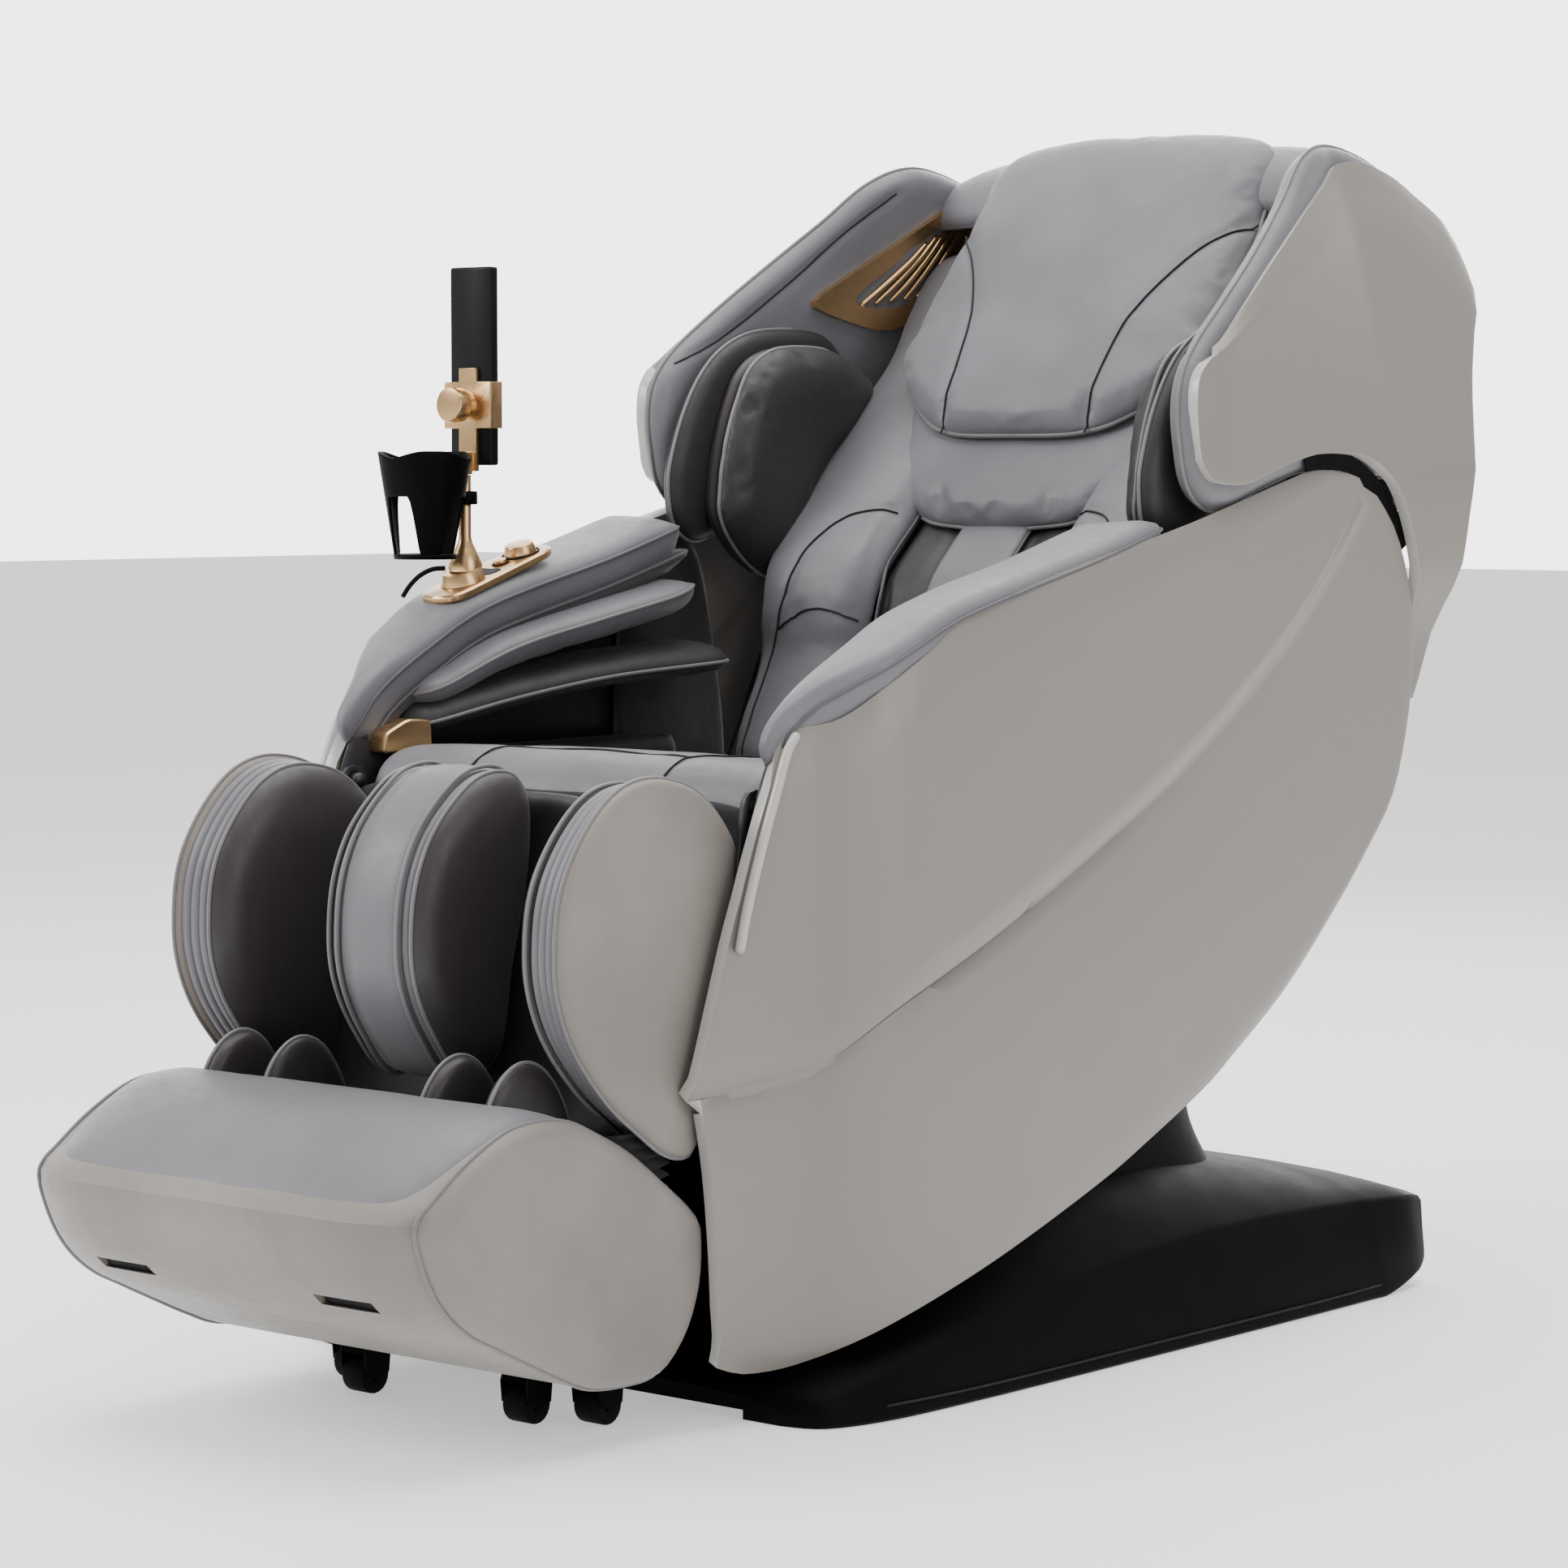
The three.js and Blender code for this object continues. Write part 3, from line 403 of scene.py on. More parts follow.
def tube(name, points, radius, mat, body, closed=False, count=None, sides=8):
    """A round tube along a smooth path, as a closed mesh."""
    path = catmull(points, count or max(12, len(points) * 6), closed)
    n = len(path)
    rings, up = [], Vector((0.3, 0.2, 0.93))
    for i, p in enumerate(path):
        before = path[i - 1] if i or closed else p
        after = path[(i + 1) % n] if i < n - 1 or closed else p
        along = (after - before).normalized()
        side = along.cross(up)
        if side.length < 1e-4:
            side = along.cross(Vector((1, 0, 0)))
        side.normalize()
        up = side.cross(along).normalized()
        turns = (2 * math.pi * k / sides for k in range(sides))
        rings.append([p + (side * math.cos(a) + up * math.sin(a)) * radius for a in turns])
    if closed:
        # The last ring meets the first, turned to the nearest matching corner.
        verts = [tuple(v) for ring in rings for v in ring]
        turn = min(range(sides), key=lambda k: (rings[-1][0] - rings[0][k]).length)
        faces = []
        for low in range(0, (n - 1) * sides, sides):
            high = low + sides
            for i in range(sides):
                j = (i + 1) % sides
                faces.append((low + i, low + j, high + j, high + i))
        last = (n - 1) * sides
        for i in range(sides):
            faces.append((last + i, last + (i + 1) % sides, (i + 1 + turn) % sides, (i + turn) % sides))
        return outward(mesh_object(name, verts, faces, mat, body))
    return loft(name, rings, mat, body, subsurf=0)


# ---- Side shells ------------------------------------------------------------------------------------------
def lerp(a, b, t):
    return a + (b - a) * t


def coons(bottom, top, left, right, nu, nv):
    """Grid of 2-D points inside four boundary curves; left and right run from bottom to top."""
    b, t = catmull(bottom, nu), catmull(top, nu)
    l, r = catmull(left, nv), catmull(right, nv)
    grid = []
    for j in range(nv):
        v = j / (nv - 1)
        row = []
        for i in range(nu):
            u = i / (nu - 1)
            p = b[i] * (1 - v) + t[i] * v + l[j] * (1 - u) + r[j] * u
            p = p - (b[0] * (1 - u) * (1 - v) + b[-1] * u * (1 - v) + t[0] * (1 - u) * v + t[-1] * u * v)
            row.append(p)
        grid.append(row)
    return grid


PANEL_BOTTOM = [(-633, 88), (-595, 77), (-522, 76), (-408, 91), (-250, 131), (-82, 187), (6, 223), (97, 264),
    (145, 292), (238, 351), (322, 421), (391, 489)]
PANEL_CREASE = [(-676, 348), (-592, 349), (-500, 361), (-386, 406), (-246, 460), (-99, 526), (56, 604),
    (218, 710), (319, 800), (372, 866)]
PANEL_TOP = [(-560, 641), (-534, 653), (-475, 659), (-408, 686), (-348, 715), (-306, 740), (-275, 749),
    (-206, 771), (-88, 799), (66, 831), (230, 871), (298, 886), (341, 884), (362, 877)]
PANEL_FRONT_LOW = [(-633, 88), (-648, 256), (-662, 345)]
PANEL_FRONT_HIGH = [(-676, 348), (-635, 465), (-619, 504), (-597, 560), (-560, 641)]
PANEL_REAR = [(391, 489), (435, 546), (457, 604), (466, 643), (473, 693), (470, 728), (457, 777), (430, 826),
    (380, 872)]


def panel_x(y, z):
    """Outer face of a side shell: fullest a little above the crease, drawn in towards its edges."""
    a = (y + 110) / 560
    b = (z - (430 + 0.36 * (y + 100))) / 420
    return 386 - 9 * min(1.2, a * a) - 6 * min(1.5, b * b)


# How far the shell is drawn in towards the leg rest, by distance along it: (y, inset).
DRAWN_IN = [(-700, 92), (-676, 90), (-640, 88), (-600, 86), (-560, 81), (-520, 68), (-470, 48), (-415, 29),
    (-367, 19), (-298, 12), (-200, 5), (-100, 2), (0, 0), (500, 0)]


def drawn_in(y, z, x):
    """Moves a point of the flat side outline inwards, away from the eye, onto the shell's in-turned front."""
    inset = np.interp(y, [row[0] for row in DRAWN_IN], [row[1] for row in DRAWN_IN])
    reach = inset / (EYE[0] - SHELL_OUT)
    return x - inset, y - reach * (EYE[1] - y), z - reach * (EYE[2] - z)


def clamp(value, low=0.0, high=1.0):
    return max(low, min(high, value))


def crease_fade(u):
    """Depth of the crease along the panel: full at the front, gone at the shoulder."""
    return clamp((1 - u) / 0.45)


def finish_shell(made, side, bevel_angle):
    """Paint, rim, wall and softened edges of a moulded shell; the rim is a lighter copy of the paint, a
    painted highlight.
    """
    made.data.materials.append(SHELL_RIM_HIGHLIGHT)
    face_along(made, 0, side, 0.4 * MM)
    # Slot 1, the lighter paint on the wall's rim, is a painted highlight along the shell's cut edges.
    add_wall(made, SHELL_WALL, rim_material=1)
    add_bevel(made, 2.6, 3, bevel_angle)


def build_panel(side, suffix):
    nu = 64
    low = coons(PANEL_BOTTOM, [(-662, 345), *PANEL_CREASE[1:-1], (380, 872)], PANEL_FRONT_LOW, PANEL_REAR, nu,
        20)
    high = coons(PANEL_CREASE, PANEL_TOP, PANEL_FRONT_HIGH, [(372, 866), (362, 877)], nu, 16)
    rows = []
    for j, row in enumerate(low):
        v = j / (len(low) - 1)
        line = []
        for i, (y, z) in enumerate(row):
            u = i / (nu - 1)
            # A shallow recess under the crease that fades towards the rear.
            recess = CREASE_IN * crease_fade(u) * v**2
            tuck = 12 * (1 - v) ** 1.3 * (1 - u)
            chamfer = 5 * max(0, 1 - v / 0.07)
            fold = 1.5 * math.exp(-((v - 0.13) / 0.05) ** 2) * (1 - u)
            line.append((side * (panel_x(y, z) - recess - tuck - chamfer + fold), y, z))
        rows.append(line)
    # The lower face's top edge lies just under the upper face's bottom edge, and meets it towards the rear.
    ledge = []
    for i, (y, z) in enumerate(high[0]):
        fade = crease_fade(i / (nu - 1))
        ledge.append((side * (panel_x(y, z) - CREASE_IN * fade), y, z - CREASE_DROP * fade))
    rows[-1] = ledge
    for j, row in enumerate(high):
        v = j / (len(high) - 1)
        line = []
        for i, (y, z) in enumerate(row):
            edge = 8 * max(0, (v - 0.87) / 0.13)
            line.append((side * (panel_x(y, z) - edge), y, z))
        rows.append(line)
    verts = []
    for row in rows:
        for x, y, z in row:
            x, y, z = drawn_in(y, z, abs(x))
            verts.append((side * x, y, z))
    made = mesh_object("shell_side_" + suffix, verts, grid_faces(nu, len(rows)), SHELL, "seat")
    finish_shell(made, side, 80)
    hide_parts("side_panel_" + suffix)


for side, suffix in SIDES:
    build_panel(side, suffix)


# ---- Wings ------------------------------------------------------------------------------------------------
def smooth(value, low, high):
    t = clamp((value - low) / (high - low))
    return t * t * (3 - 2 * t)


def wing_x(y, z):
    rise = clamp((z - 880) / 320) * clamp((y - 70) / 360)
    return 386 - 76 * rise - 20 * (1 - smooth(z, 700, 790))


WING_FRONT = [(80, 893), (74, 929), (73, 954), (79, 980), (106, 1006)]
WING_TOP = [(106, 1006), (210, 1078), (270, 1116), (330, 1151), (400, 1188), (428, 1205), (462, 1211),
    (494, 1209), (540, 1198), (576, 1180), (620, 1156), (642, 1131)]
WING_REAR = [(488, 642), (522, 712), (552, 782), (568, 845), (588, 920), (606, 980), (628, 1030), (651, 1078),
    (642, 1131)]
WING_LOW = [(80, 893), (92, 876), (110, 870), (150, 870), (210, 886), (270, 899), (330, 902), (380, 895),
    (424, 866), (452, 823), (470, 768), (473, 718), (468, 680), (464, 642), (488, 642)]


def build_wing(side, suffix):
    low = WING_LOW[:-1]
    nu, nv = 60, 22
    # Boundary order: bottom follows the cut-out, top the crown line, left the nose and right the tail.
    grid = coons(low, WING_TOP, WING_FRONT, [(464, 642), (476, 640), (488, 642), *WING_REAR[1:]], nu, nv)
    verts = []
    for j, row in enumerate(grid):
        v = j / (nv - 1)
        for i, (y, z) in enumerate(row):
            u = i / (nu - 1)
            front_band = 18 * clamp(1 - (y - 78) / 40) if z < 1010 else 0
            top_band = 10 * clamp((v - 0.86) / 0.14)
            verts.append((side * (wing_x(y, z) - top_band - 0.5 * front_band), y, z))
    made = mesh_object("shell_wing_" + suffix, verts, grid_faces(nu, nv), SHELL, "backrest")
    finish_shell(made, side, 50)
    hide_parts("wing_" + suffix)


for side, suffix in SIDES:
    build_wing(side, suffix)


# ---- Upholstery helpers -----------------------------------------------------------------------------------
class Rail:
    """A smooth (y, z) line with distance along it, and a normal that points to the sitter's side."""

    def __init__(self, points):
        self.path = catmull([(y, z, 0) for y, z in points], 240)
        self.step = sum((b - a).length for a, b in zip(self.path, self.path[1:])) / 239
        self.length = self.step * 239

    def at(self, s, height=0.0):
        k = clamp(s / self.step, 0, 238.999)
        i = int(k)
        a, b = self.path[i], self.path[i + 1]
        along = (b - a).normalized()
        p = a.lerp(b, k - i) + along * (s - k * self.step)
        return p.x - along.y * height, p.y + along.x * height


def segment_distance(points, line, closed=False):
    """Distance from each (u, v) point to the nearest place on a polyline."""
    line = np.asarray(line, float)
    ends = np.roll(line, -1, axis=0) if closed else line[1:]
    starts = line if closed else line[:-1]
    best = np.full(len(points), 1e9)
    for a, b in zip(starts, ends):
        ab = b - a
        t = np.clip(((points - a) @ ab) / max(ab @ ab, 1e-9), 0, 1)
        best = np.minimum(best, np.linalg.norm(points - (a + t[:, None] * ab), axis=1))
    return best


class Cushion:
    """A stuffed piece over a (u, v) outline: a crowned front, a rounded rim and a flatter rear.

    place(u, v, height) gives its (x, y, z) in millimetres.
    Grooves are (line, depth, width) valleys of sewn seams.
    """

    def __init__(self, name, outline, place, mat, body, front=12, rear=8, edge=14, puff=8, grooves=(),
            count=110, rings=20, slot="leather", stands_for=(), fill=0.7, wobble=0.6, centre=None, reach=None,
            seed=0.0):
        self.name, self.place, self.body = name, place, body
        self.front, self.rear, self.edge, self.puff = front, rear, edge, puff
        self.grooves, self.wobble, self.seed = grooves, wobble, seed
        self.rim = np.array([(p.x, p.y) for p in catmull([(u, v, 0) for u, v in outline], count, True)])
        self.centre = np.array(centre) if centre else self.rim.mean(axis=0)
        self.reach = reach or segment_distance(self.centre[None], self.rim, True)[0]
        shares = [math.sin(math.pi / 2 * k / rings) for k in range(1, rings + 1)]
        front_rings = [self.centre + (self.rim - self.centre) * t for t in shares]
        flat = np.vstack([self.centre[None], *front_rings])
        tops = self.height(flat)
        rear_shares = shares[-2::-2]
        rear_flat = np.vstack([*[self.centre + (self.rim - self.centre) * t for t in rear_shares],
            self.centre[None]])
        bottoms = -self.depth_behind(rear_flat)
        verts = [place(u, v, h) for (u, v), h in zip(flat, tops)]
        verts += [place(u, v, h) for (u, v), h in zip(rear_flat, bottoms)]
        n, faces = count, []
        for i in range(n):
            faces.append((0, 1 + i, 1 + (i + 1) % n))
        rows = [1 + r * n for r in range(rings)] + [1 + rings * n + r * n for r in range(len(rear_shares))]
        for a, b in zip(rows, rows[1:]):
            for i in range(n):
                j = (i + 1) % n
                faces.append((a + i, b + i, b + j, a + j))
        last, tip = rows[-1], len(verts) - 1
        for i in range(n):
            faces.append((last + (i + 1) % n, last + i, tip))
        self.made = outward(mesh_object(name, verts, faces, mat, body))
        for node in stands_for:
            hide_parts(node)
        self.tree = None

    def surface(self):
        """A search tree over the finished surface."""
        if self.tree is None:
            graph = bpy.context.evaluated_depsgraph_get()
            self.tree = BVHTree.FromObject(self.made, graph)
        return self.tree

    def struck(self, start, end):
        """Where a line from start to end first meets the surface, and its direction; both in millimetres."""
        start, end = Vector(start), Vector(end)
        way = (end - start).normalized()
        hit = self.surface().ray_cast(start * MM, way, (end - start).length * MM)[0]
        return (hit / MM if hit else None), way

    def rounding(self, points):
        d = segment_distance(points, self.rim, True)
        x = np.clip(d / self.edge, 0, 1)
        m = np.clip(d / self.reach, 0, 1)
        return np.sqrt(np.clip(1 - (1 - x) ** 2, 0, 1)), 1 - (1 - m) ** 2

    def height(self, points):
        points = np.asarray(points, float)
        side, crown = self.rounding(points)
        h = self.front * side + self.puff * crown
        for line, depth, width in self.grooves:
            h -= depth * np.exp(-((segment_distance(points, line) / width) ** 2)) * side
        if self.wobble:
            for i, (u, v) in enumerate(points):
                h[i] += self.wobble * side[i] * noise.noise(Vector((u * 0.016, v * 0.016, self.seed)))
        return h

    def depth_behind(self, points):
        side, _ = self.rounding(points)
        return self.rear * side

    def on_top(self, line, lift=0.0, count=None):
        """(x, y, z) points of a (u, v) line laid on the front."""
        line = [(p.x, p.y) for p in catmull([(u, v, 0) for u, v in line], count or max(16, len(line) * 8))]
        out = []
        for (u, v), h in zip(line, self.height(line)):
            hit, way = self.struck(self.place(u, v, h + 30), self.place(u, v, h - 30))
            out.append(hit - way * lift if hit else Vector(self.place(u, v, h + lift)))
        return out

    def seam(self, line, mat=None, radius=1.1, lift=-0.2):
        return tube(self.name + "_seam", self.on_top(line, lift), radius, mat or SEAM, self.body, sides=6)

    def piping(self, mat=None, radius=2.3, out=1.0, inset=0.0):
        """A round welt along the rim."""
        away = self.rim - self.centre
        away /= np.linalg.norm(away, axis=1)[:, None]
        path = []
        for (u, v), (du, dv) in zip(self.rim[::2], away[::2]):
            hit, way = self.struck(self.place(u + du * 40, v + dv * 40, inset),
                self.place(u - du * 12, v - dv * 12, inset))
            path.append(hit - way * out * 0.6 if hit else Vector(self.place(u + du * out, v + dv * out,
                inset)))
        return tube(self.name + "_piping", path, radius, mat or PIPE, self.body, closed=True,
            count=len(path) * 2, sides=8)


CLOTH_FRAMES = 20


def settle(cushion, cap, pressure=4.0, voxel=6.0):
    """Swells a cushion as blown-up cloth, with no point moving further than `cap` millimetres."""
    made = cushion.made
    mat = made.data.materials[0]
    remesh = made.modifiers.new("even", "REMESH")
    remesh.mode = "VOXEL"
    remesh.voxel_size = voxel * MM
    even = baked(made)
    made.modifiers.clear()
    worker = bpy.data.objects.new("worker", even)
    bpy.context.scene.collection.objects.link(worker)
    rest = np.zeros(len(even.vertices) * 3)
    even.vertices.foreach_get("co", rest)
    cloth = worker.modifiers.new("cloth", "CLOTH")
    cloth.settings.use_pressure = True
    cloth.settings.uniform_pressure_force = pressure
    cloth.settings.effector_weights.gravity = 0
    cloth.settings.quality = 4
    cloth.collision_settings.use_collision = False
    cloth.point_cache.frame_start = 1
    cloth.point_cache.frame_end = CLOTH_FRAMES
    for step in range(1, CLOTH_FRAMES + 1):
        bpy.context.scene.frame_set(step)
    moved = baked(worker)
    now = np.zeros(len(moved.vertices) * 3)
    moved.vertices.foreach_get("co", now)
    shift = (now - rest).reshape(-1, 3)
    far = np.linalg.norm(shift, axis=1)
    limit = np.minimum(1, cap * MM / np.maximum(far, 1e-9))
    rest = rest.reshape(-1, 3) + shift * limit[:, None]
    even.vertices.foreach_set("co", rest.ravel())
    even.update()
    bpy.data.objects.remove(worker)
    bpy.context.scene.frame_set(1)
    made.data = even
    cushion.tree = None
    even.materials.clear()
    even.materials.append(mat)
    smooth_shaded(even)
    add_subsurf(made, 1)


def across(side, x, inward=True):
    """Places a (y, z) outline at |x|, with its front facing the middle of the chair or the outside."""
    sign = -1 if inward else 1
    return lambda u, v, h: (side * (x + sign * h), u, v)


def on_rail(rail, bow=0.0, half=200.0):
    """Places (x, distance) on a rail; the sides fall back by `bow` at half the width."""
    return lambda u, v, h: (u, *rail.at(v, h - bow * (u / half) ** 2))


def dressed(node, mat, width=1.2, segments=2, angle=30):
    """A hard CAD piece shown with softened edges and its own finish."""
    made = bpy.data.objects[node]
    for slot in made.material_slots:
        slot.material = mat
    weld = made.modifiers.new("weld", "WELD")
    weld.merge_threshold = 0.02 * MM
    add_bevel(made, width, segments, angle)
    smooth_shaded(made.data, 32)


def carve(made, *cutters):
    """Cuts the cutters out of a closed mesh and applies the result."""
    for cutter in cutters:
        mod = made.modifiers.new("carve", "BOOLEAN")
        mod.operation = "DIFFERENCE"
        mod.solver = "EXACT"
        mod.object = cutter
    mesh = baked(made)
    made.modifiers.clear()
    made.data = mesh
    for cutter in cutters:
        bpy.data.objects.remove(cutter)
    smooth_shaded(mesh, 35)


def solid_box(name, low, high, mat, body, bevel=0.0):
    (x0, y0, z0), (x1, y1, z1) = low, high
    verts = [(x, y, z) for x in (x0, x1) for y in (y0, y1) for z in (z0, z1)]
    faces = [(0, 1, 3, 2), (4, 6, 7, 5), (0, 4, 5, 1), (2, 3, 7, 6), (0, 2, 6, 4), (1, 5, 7, 3)]
    made = outward(mesh_object(name, verts, faces, mat, body, smooth=False))
    if bevel:
        add_bevel(made, bevel)
        smooth_shaded(made.data, 32)
    return made


def prism(name, outline, place, depth, mat, body, bevel=0.0):
    """A flat-sided piece: an outline in (u, v) given a thickness, from height 0 to depth."""
    n = len(outline)
    verts = [place(u, v, 0) for u, v in outline] + [place(u, v, depth) for u, v in outline]
    faces = [tuple(range(n)), tuple(range(2 * n - 1, n - 1, -1))]
    faces += [(i, (i + 1) % n, n + (i + 1) % n, n + i) for i in range(n)]
    made = outward(mesh_object(name, verts, faces, mat, body, smooth=False))
    if bevel:
        add_bevel(made, bevel)
        smooth_shaded(made.data, 32)
    return made


def turns_left(outline):
    """Whether an outline runs anticlockwise in its own (u, v)."""
    return sum(a[0] * b[1] - b[0] * a[1] for a, b in zip(outline, outline[1:] + outline[:1])) > 0


def closed_curve(points, count):
    return [(p.x, p.y) for p in catmull([(u, v, 0) for u, v in points], count, True)]


# ---- Base -------------------------------------------------------------------------------------------------
COVER = [(-470, 300, 0, 14, 296, 22, 240, 26), (-452, 340, 0, 26, 334, 38, 270, 44),
    (-380, 362, 0, 44, 350, 66, 290, 76), (-250, 368, 0, 66, 346, 104, 290, 116),
    (-120, 369, 0, 84, 340, 138, 280, 152), (20, 369, 0, 98, 336, 156, 270, 176),
    (160, 369, 0, 106, 334, 160, 262, 186), (300, 368, 0, 106, 334, 146, 262, 168),
    (420, 366, 0, 102, 336, 126, 270, 142), (462, 365, 1, 100, 338, 120, 274, 134),
    (524, 356, 13, 96, 340, 110, 282, 120), (562, 340, 22, 90, 334, 98, 290, 106)]
COLUMN = [(96, 300, -262, 440), (108, 280, -244, 412), (130, 266, -214, 380), (160, 256, -180, 354),
    (200, 249, -150, 330), (250, 245, -122, 318), (296, 240, -98, 308)]


def table_rows(rows, count):
    """Rows of a table, smoothly filled in between."""
    rows = np.array(rows, float)
    out = []
    for t in np.linspace(0, len(rows) - 1, count):
        i = min(int(t), len(rows) - 2)
        after = rows[min(i + 2, len(rows) - 1)]
        out.append(catmull_point(rows[max(i - 1, 0)], rows[i], rows[i + 1], after, t - i))
    return out


def cover_ring(row):
    y, foot, floor_z, crease, crease_half, shoulder, shoulder_half, crown = row
    half = [(foot - 3, floor_z), (foot, floor_z + 3), (foot, floor_z + 10),
        (lerp(foot, crease_half, 0.5), lerp(floor_z + 10, crease, 0.5)), (crease_half + 1, crease - 3),
        (crease_half - 3, crease + 2), (lerp(crease_half, shoulder_half, 0.5),
        lerp(crease, shoulder, 0.53) + 2), (shoulder_half, shoulder), (shoulder_half * 0.85,
        lerp(shoulder, crown, 0.45)), (shoulder_half * 0.6, lerp(shoulder, crown, 0.8)),
        (shoulder_half * 0.3, crown - 1)]
    ring = half + [(-x, z) for x, z in reversed(half)]
    return [(x, y, z) for x, z in ring]


def soft_rectangle(x, half, front, rear, z, count, sharp_x, sharp_y):
    """A level ring of points around a rectangle with rounded corners; small exponents make them tighter."""
    ring = []
    for k in range(count):
        c, s = math.cos(2 * math.pi * k / count), math.sin(2 * math.pi * k / count)
        y = (front + rear) / 2 + (rear - front) / 2 * math.copysign(abs(s) ** sharp_y, s)
        ring.append((x + half * math.copysign(abs(c) ** sharp_x, c), y, z))
    return ring


def column_ring(row):
    z, half, front, rear = row
    return soft_rectangle(0, half, front, rear, z, 64, 0.42, 0.5)


base = loft("base_cover_shell", [cover_ring(r) for r in table_rows(COVER, 56)], BLACK, "base", subsurf=0)
carve(base, solid_box("cut_inlet", (-160, 546, 40), (-112, 600, 72), BLACK, "base"),
    solid_box("cut_switch", (-96, 546, 40), (-64, 600, 72), BLACK, "base"),
    solid_box("cut_wheel_left", (271, 476, -20), (309, 542, 62), BLACK, "base"),
    solid_box("cut_wheel_right", (-309, 476, -20), (-271, 542, 62), BLACK, "base"),
    solid_box("cut_arch", (-250, -520, -20), (250, -410, 9), BLACK, "base"))
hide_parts("base_cover")
column = loft("base_column", [column_ring(r) for r in table_rows(COLUMN, 26)], BLACK, "base", subsurf=0)
for sign in (1, -1):
    foot_line = [(sign * 363, -395, 16), (sign * 369, -250, 14), (sign * 369, 20, 14), (sign * 369, 300, 14),
        (sign * 364, 440, 14)]
    tube("base_foot_joint", foot_line, 1.1, SEAM, "base", sides=6)
for node, finish in (("rear_wheel_left", RUBBER), ("rear_wheel_right", RUBBER), ("power_switch", RUBBER),
        ("power_inlet", BLACK), ("base_frame", STEEL), ("air_pump", STEEL), ("tilt_motor", BLACK)):
    dressed(node, finish, 1.0)
for x in (-146, -136, -126):
    solid_box("inlet_pin", (x - 1.5, 557, 50), (x + 1.5, 561, 62), STEEL, "base", 0.4)

# ---- Foot rest --------------------------------------------------------------------------------------------
FOOT_SIDE = [(-922, 236), (-893, 258), (-850, 283), (-799, 304), (-755, 310), (-709, 306), (-668, 290),
    (-625, 268), (-575, 232), (-542, 206), (-532, 188), (-534, 140), (-553, 94), (-587, 62), (-630, 57),
    (-679, 61), (-720, 76), (-762, 94), (-810, 115), (-852, 134), (-888, 162), (-912, 198)]


def corner_pull(x, y):
    """How far a point falls back at the foot rest's rounded front corners."""
    corner = clamp((abs(x) - FOOT_CORNER) / (FOOT_HALF - FOOT_CORNER))
    pull = FOOT_CORNER_PULL * (1 - math.sqrt(max(0.0, 1 - 0.94 * corner**2)))
    return pull * clamp((-y - 640) / 280) ** 1.5


FOOT_DENSE = closed_curve(FOOT_SIDE, 72)


def foot_station(x, edge=16.0):
    """The side outline at one x: drawn in at the side edges, pulled back at the rounded front corners."""
    over = max(0.0, abs(x) - (FOOT_HALF - edge)) / edge
    inset = edge * (1 - math.sqrt(max(0.0, 1 - over * over)))
    ring = []
    for i, (y, z) in enumerate(FOOT_DENSE):
        after, before = FOOT_DENSE[(i + 1) % len(FOOT_DENSE)], FOOT_DENSE[i - 1]
        ty, tz = after[0] - before[0], after[1] - before[1]
        size = math.hypot(ty, tz)
        turned = FOOT_TURN * inset / size
        ring.append((x, y + turned * tz + corner_pull(x, y), z - turned * ty))
    return ring


FOOT_TURN = -1 if turns_left(FOOT_DENSE) else 1
near_edge = (246, 251, 255.5, 259, 261.2, FOOT_HALF)
stations = [-x for x in reversed(near_edge)] + list(range(-236, 237, 16)) + list(near_edge)
foot = loft("foot_body", [foot_station(x) for x in stations], PALE, "foot_rest", subsurf=0)


def well_cutter(name, side, half, front, rear, floor_z, mat):
    rings = []
    for z, grow in ((floor_z, -14), (floor_z + 8, -4), (floor_z + 30, 0), (250, 2), (380, 8)):
        rings.append(soft_rectangle(side * WELL_X, half + grow, front - grow, rear + grow, z, 40, 0.5, 0.5))
    return loft(name, rings, mat, "foot_rest", subsurf=0)


carve(foot, well_cutter("cut_well_l", 1, 60, -758, -604, 112, TAUPE), well_cutter("cut_well_r", -1, 60, -758,
    -604, 112, TAUPE), *[solid_box("cut_vent", (s * 145 - 36, -960, 149), (s * 145 + 36, -848, 160), SEAM,
    "foot_rest") for s in (1, -1)])
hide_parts("foot_shell")


FOOT_TOP = Rail([(-914, 222), (-893, 247), (-850, 277), (-799, 300), (-755, 307), (-709, 303)])


def foot_pad_place(u, v, h):
    y, z = FOOT_TOP.at(v, h + 3)
    return (u, y + corner_pull(u, y), z - 5 * clamp((abs(u) - 190) / 60) ** 2)


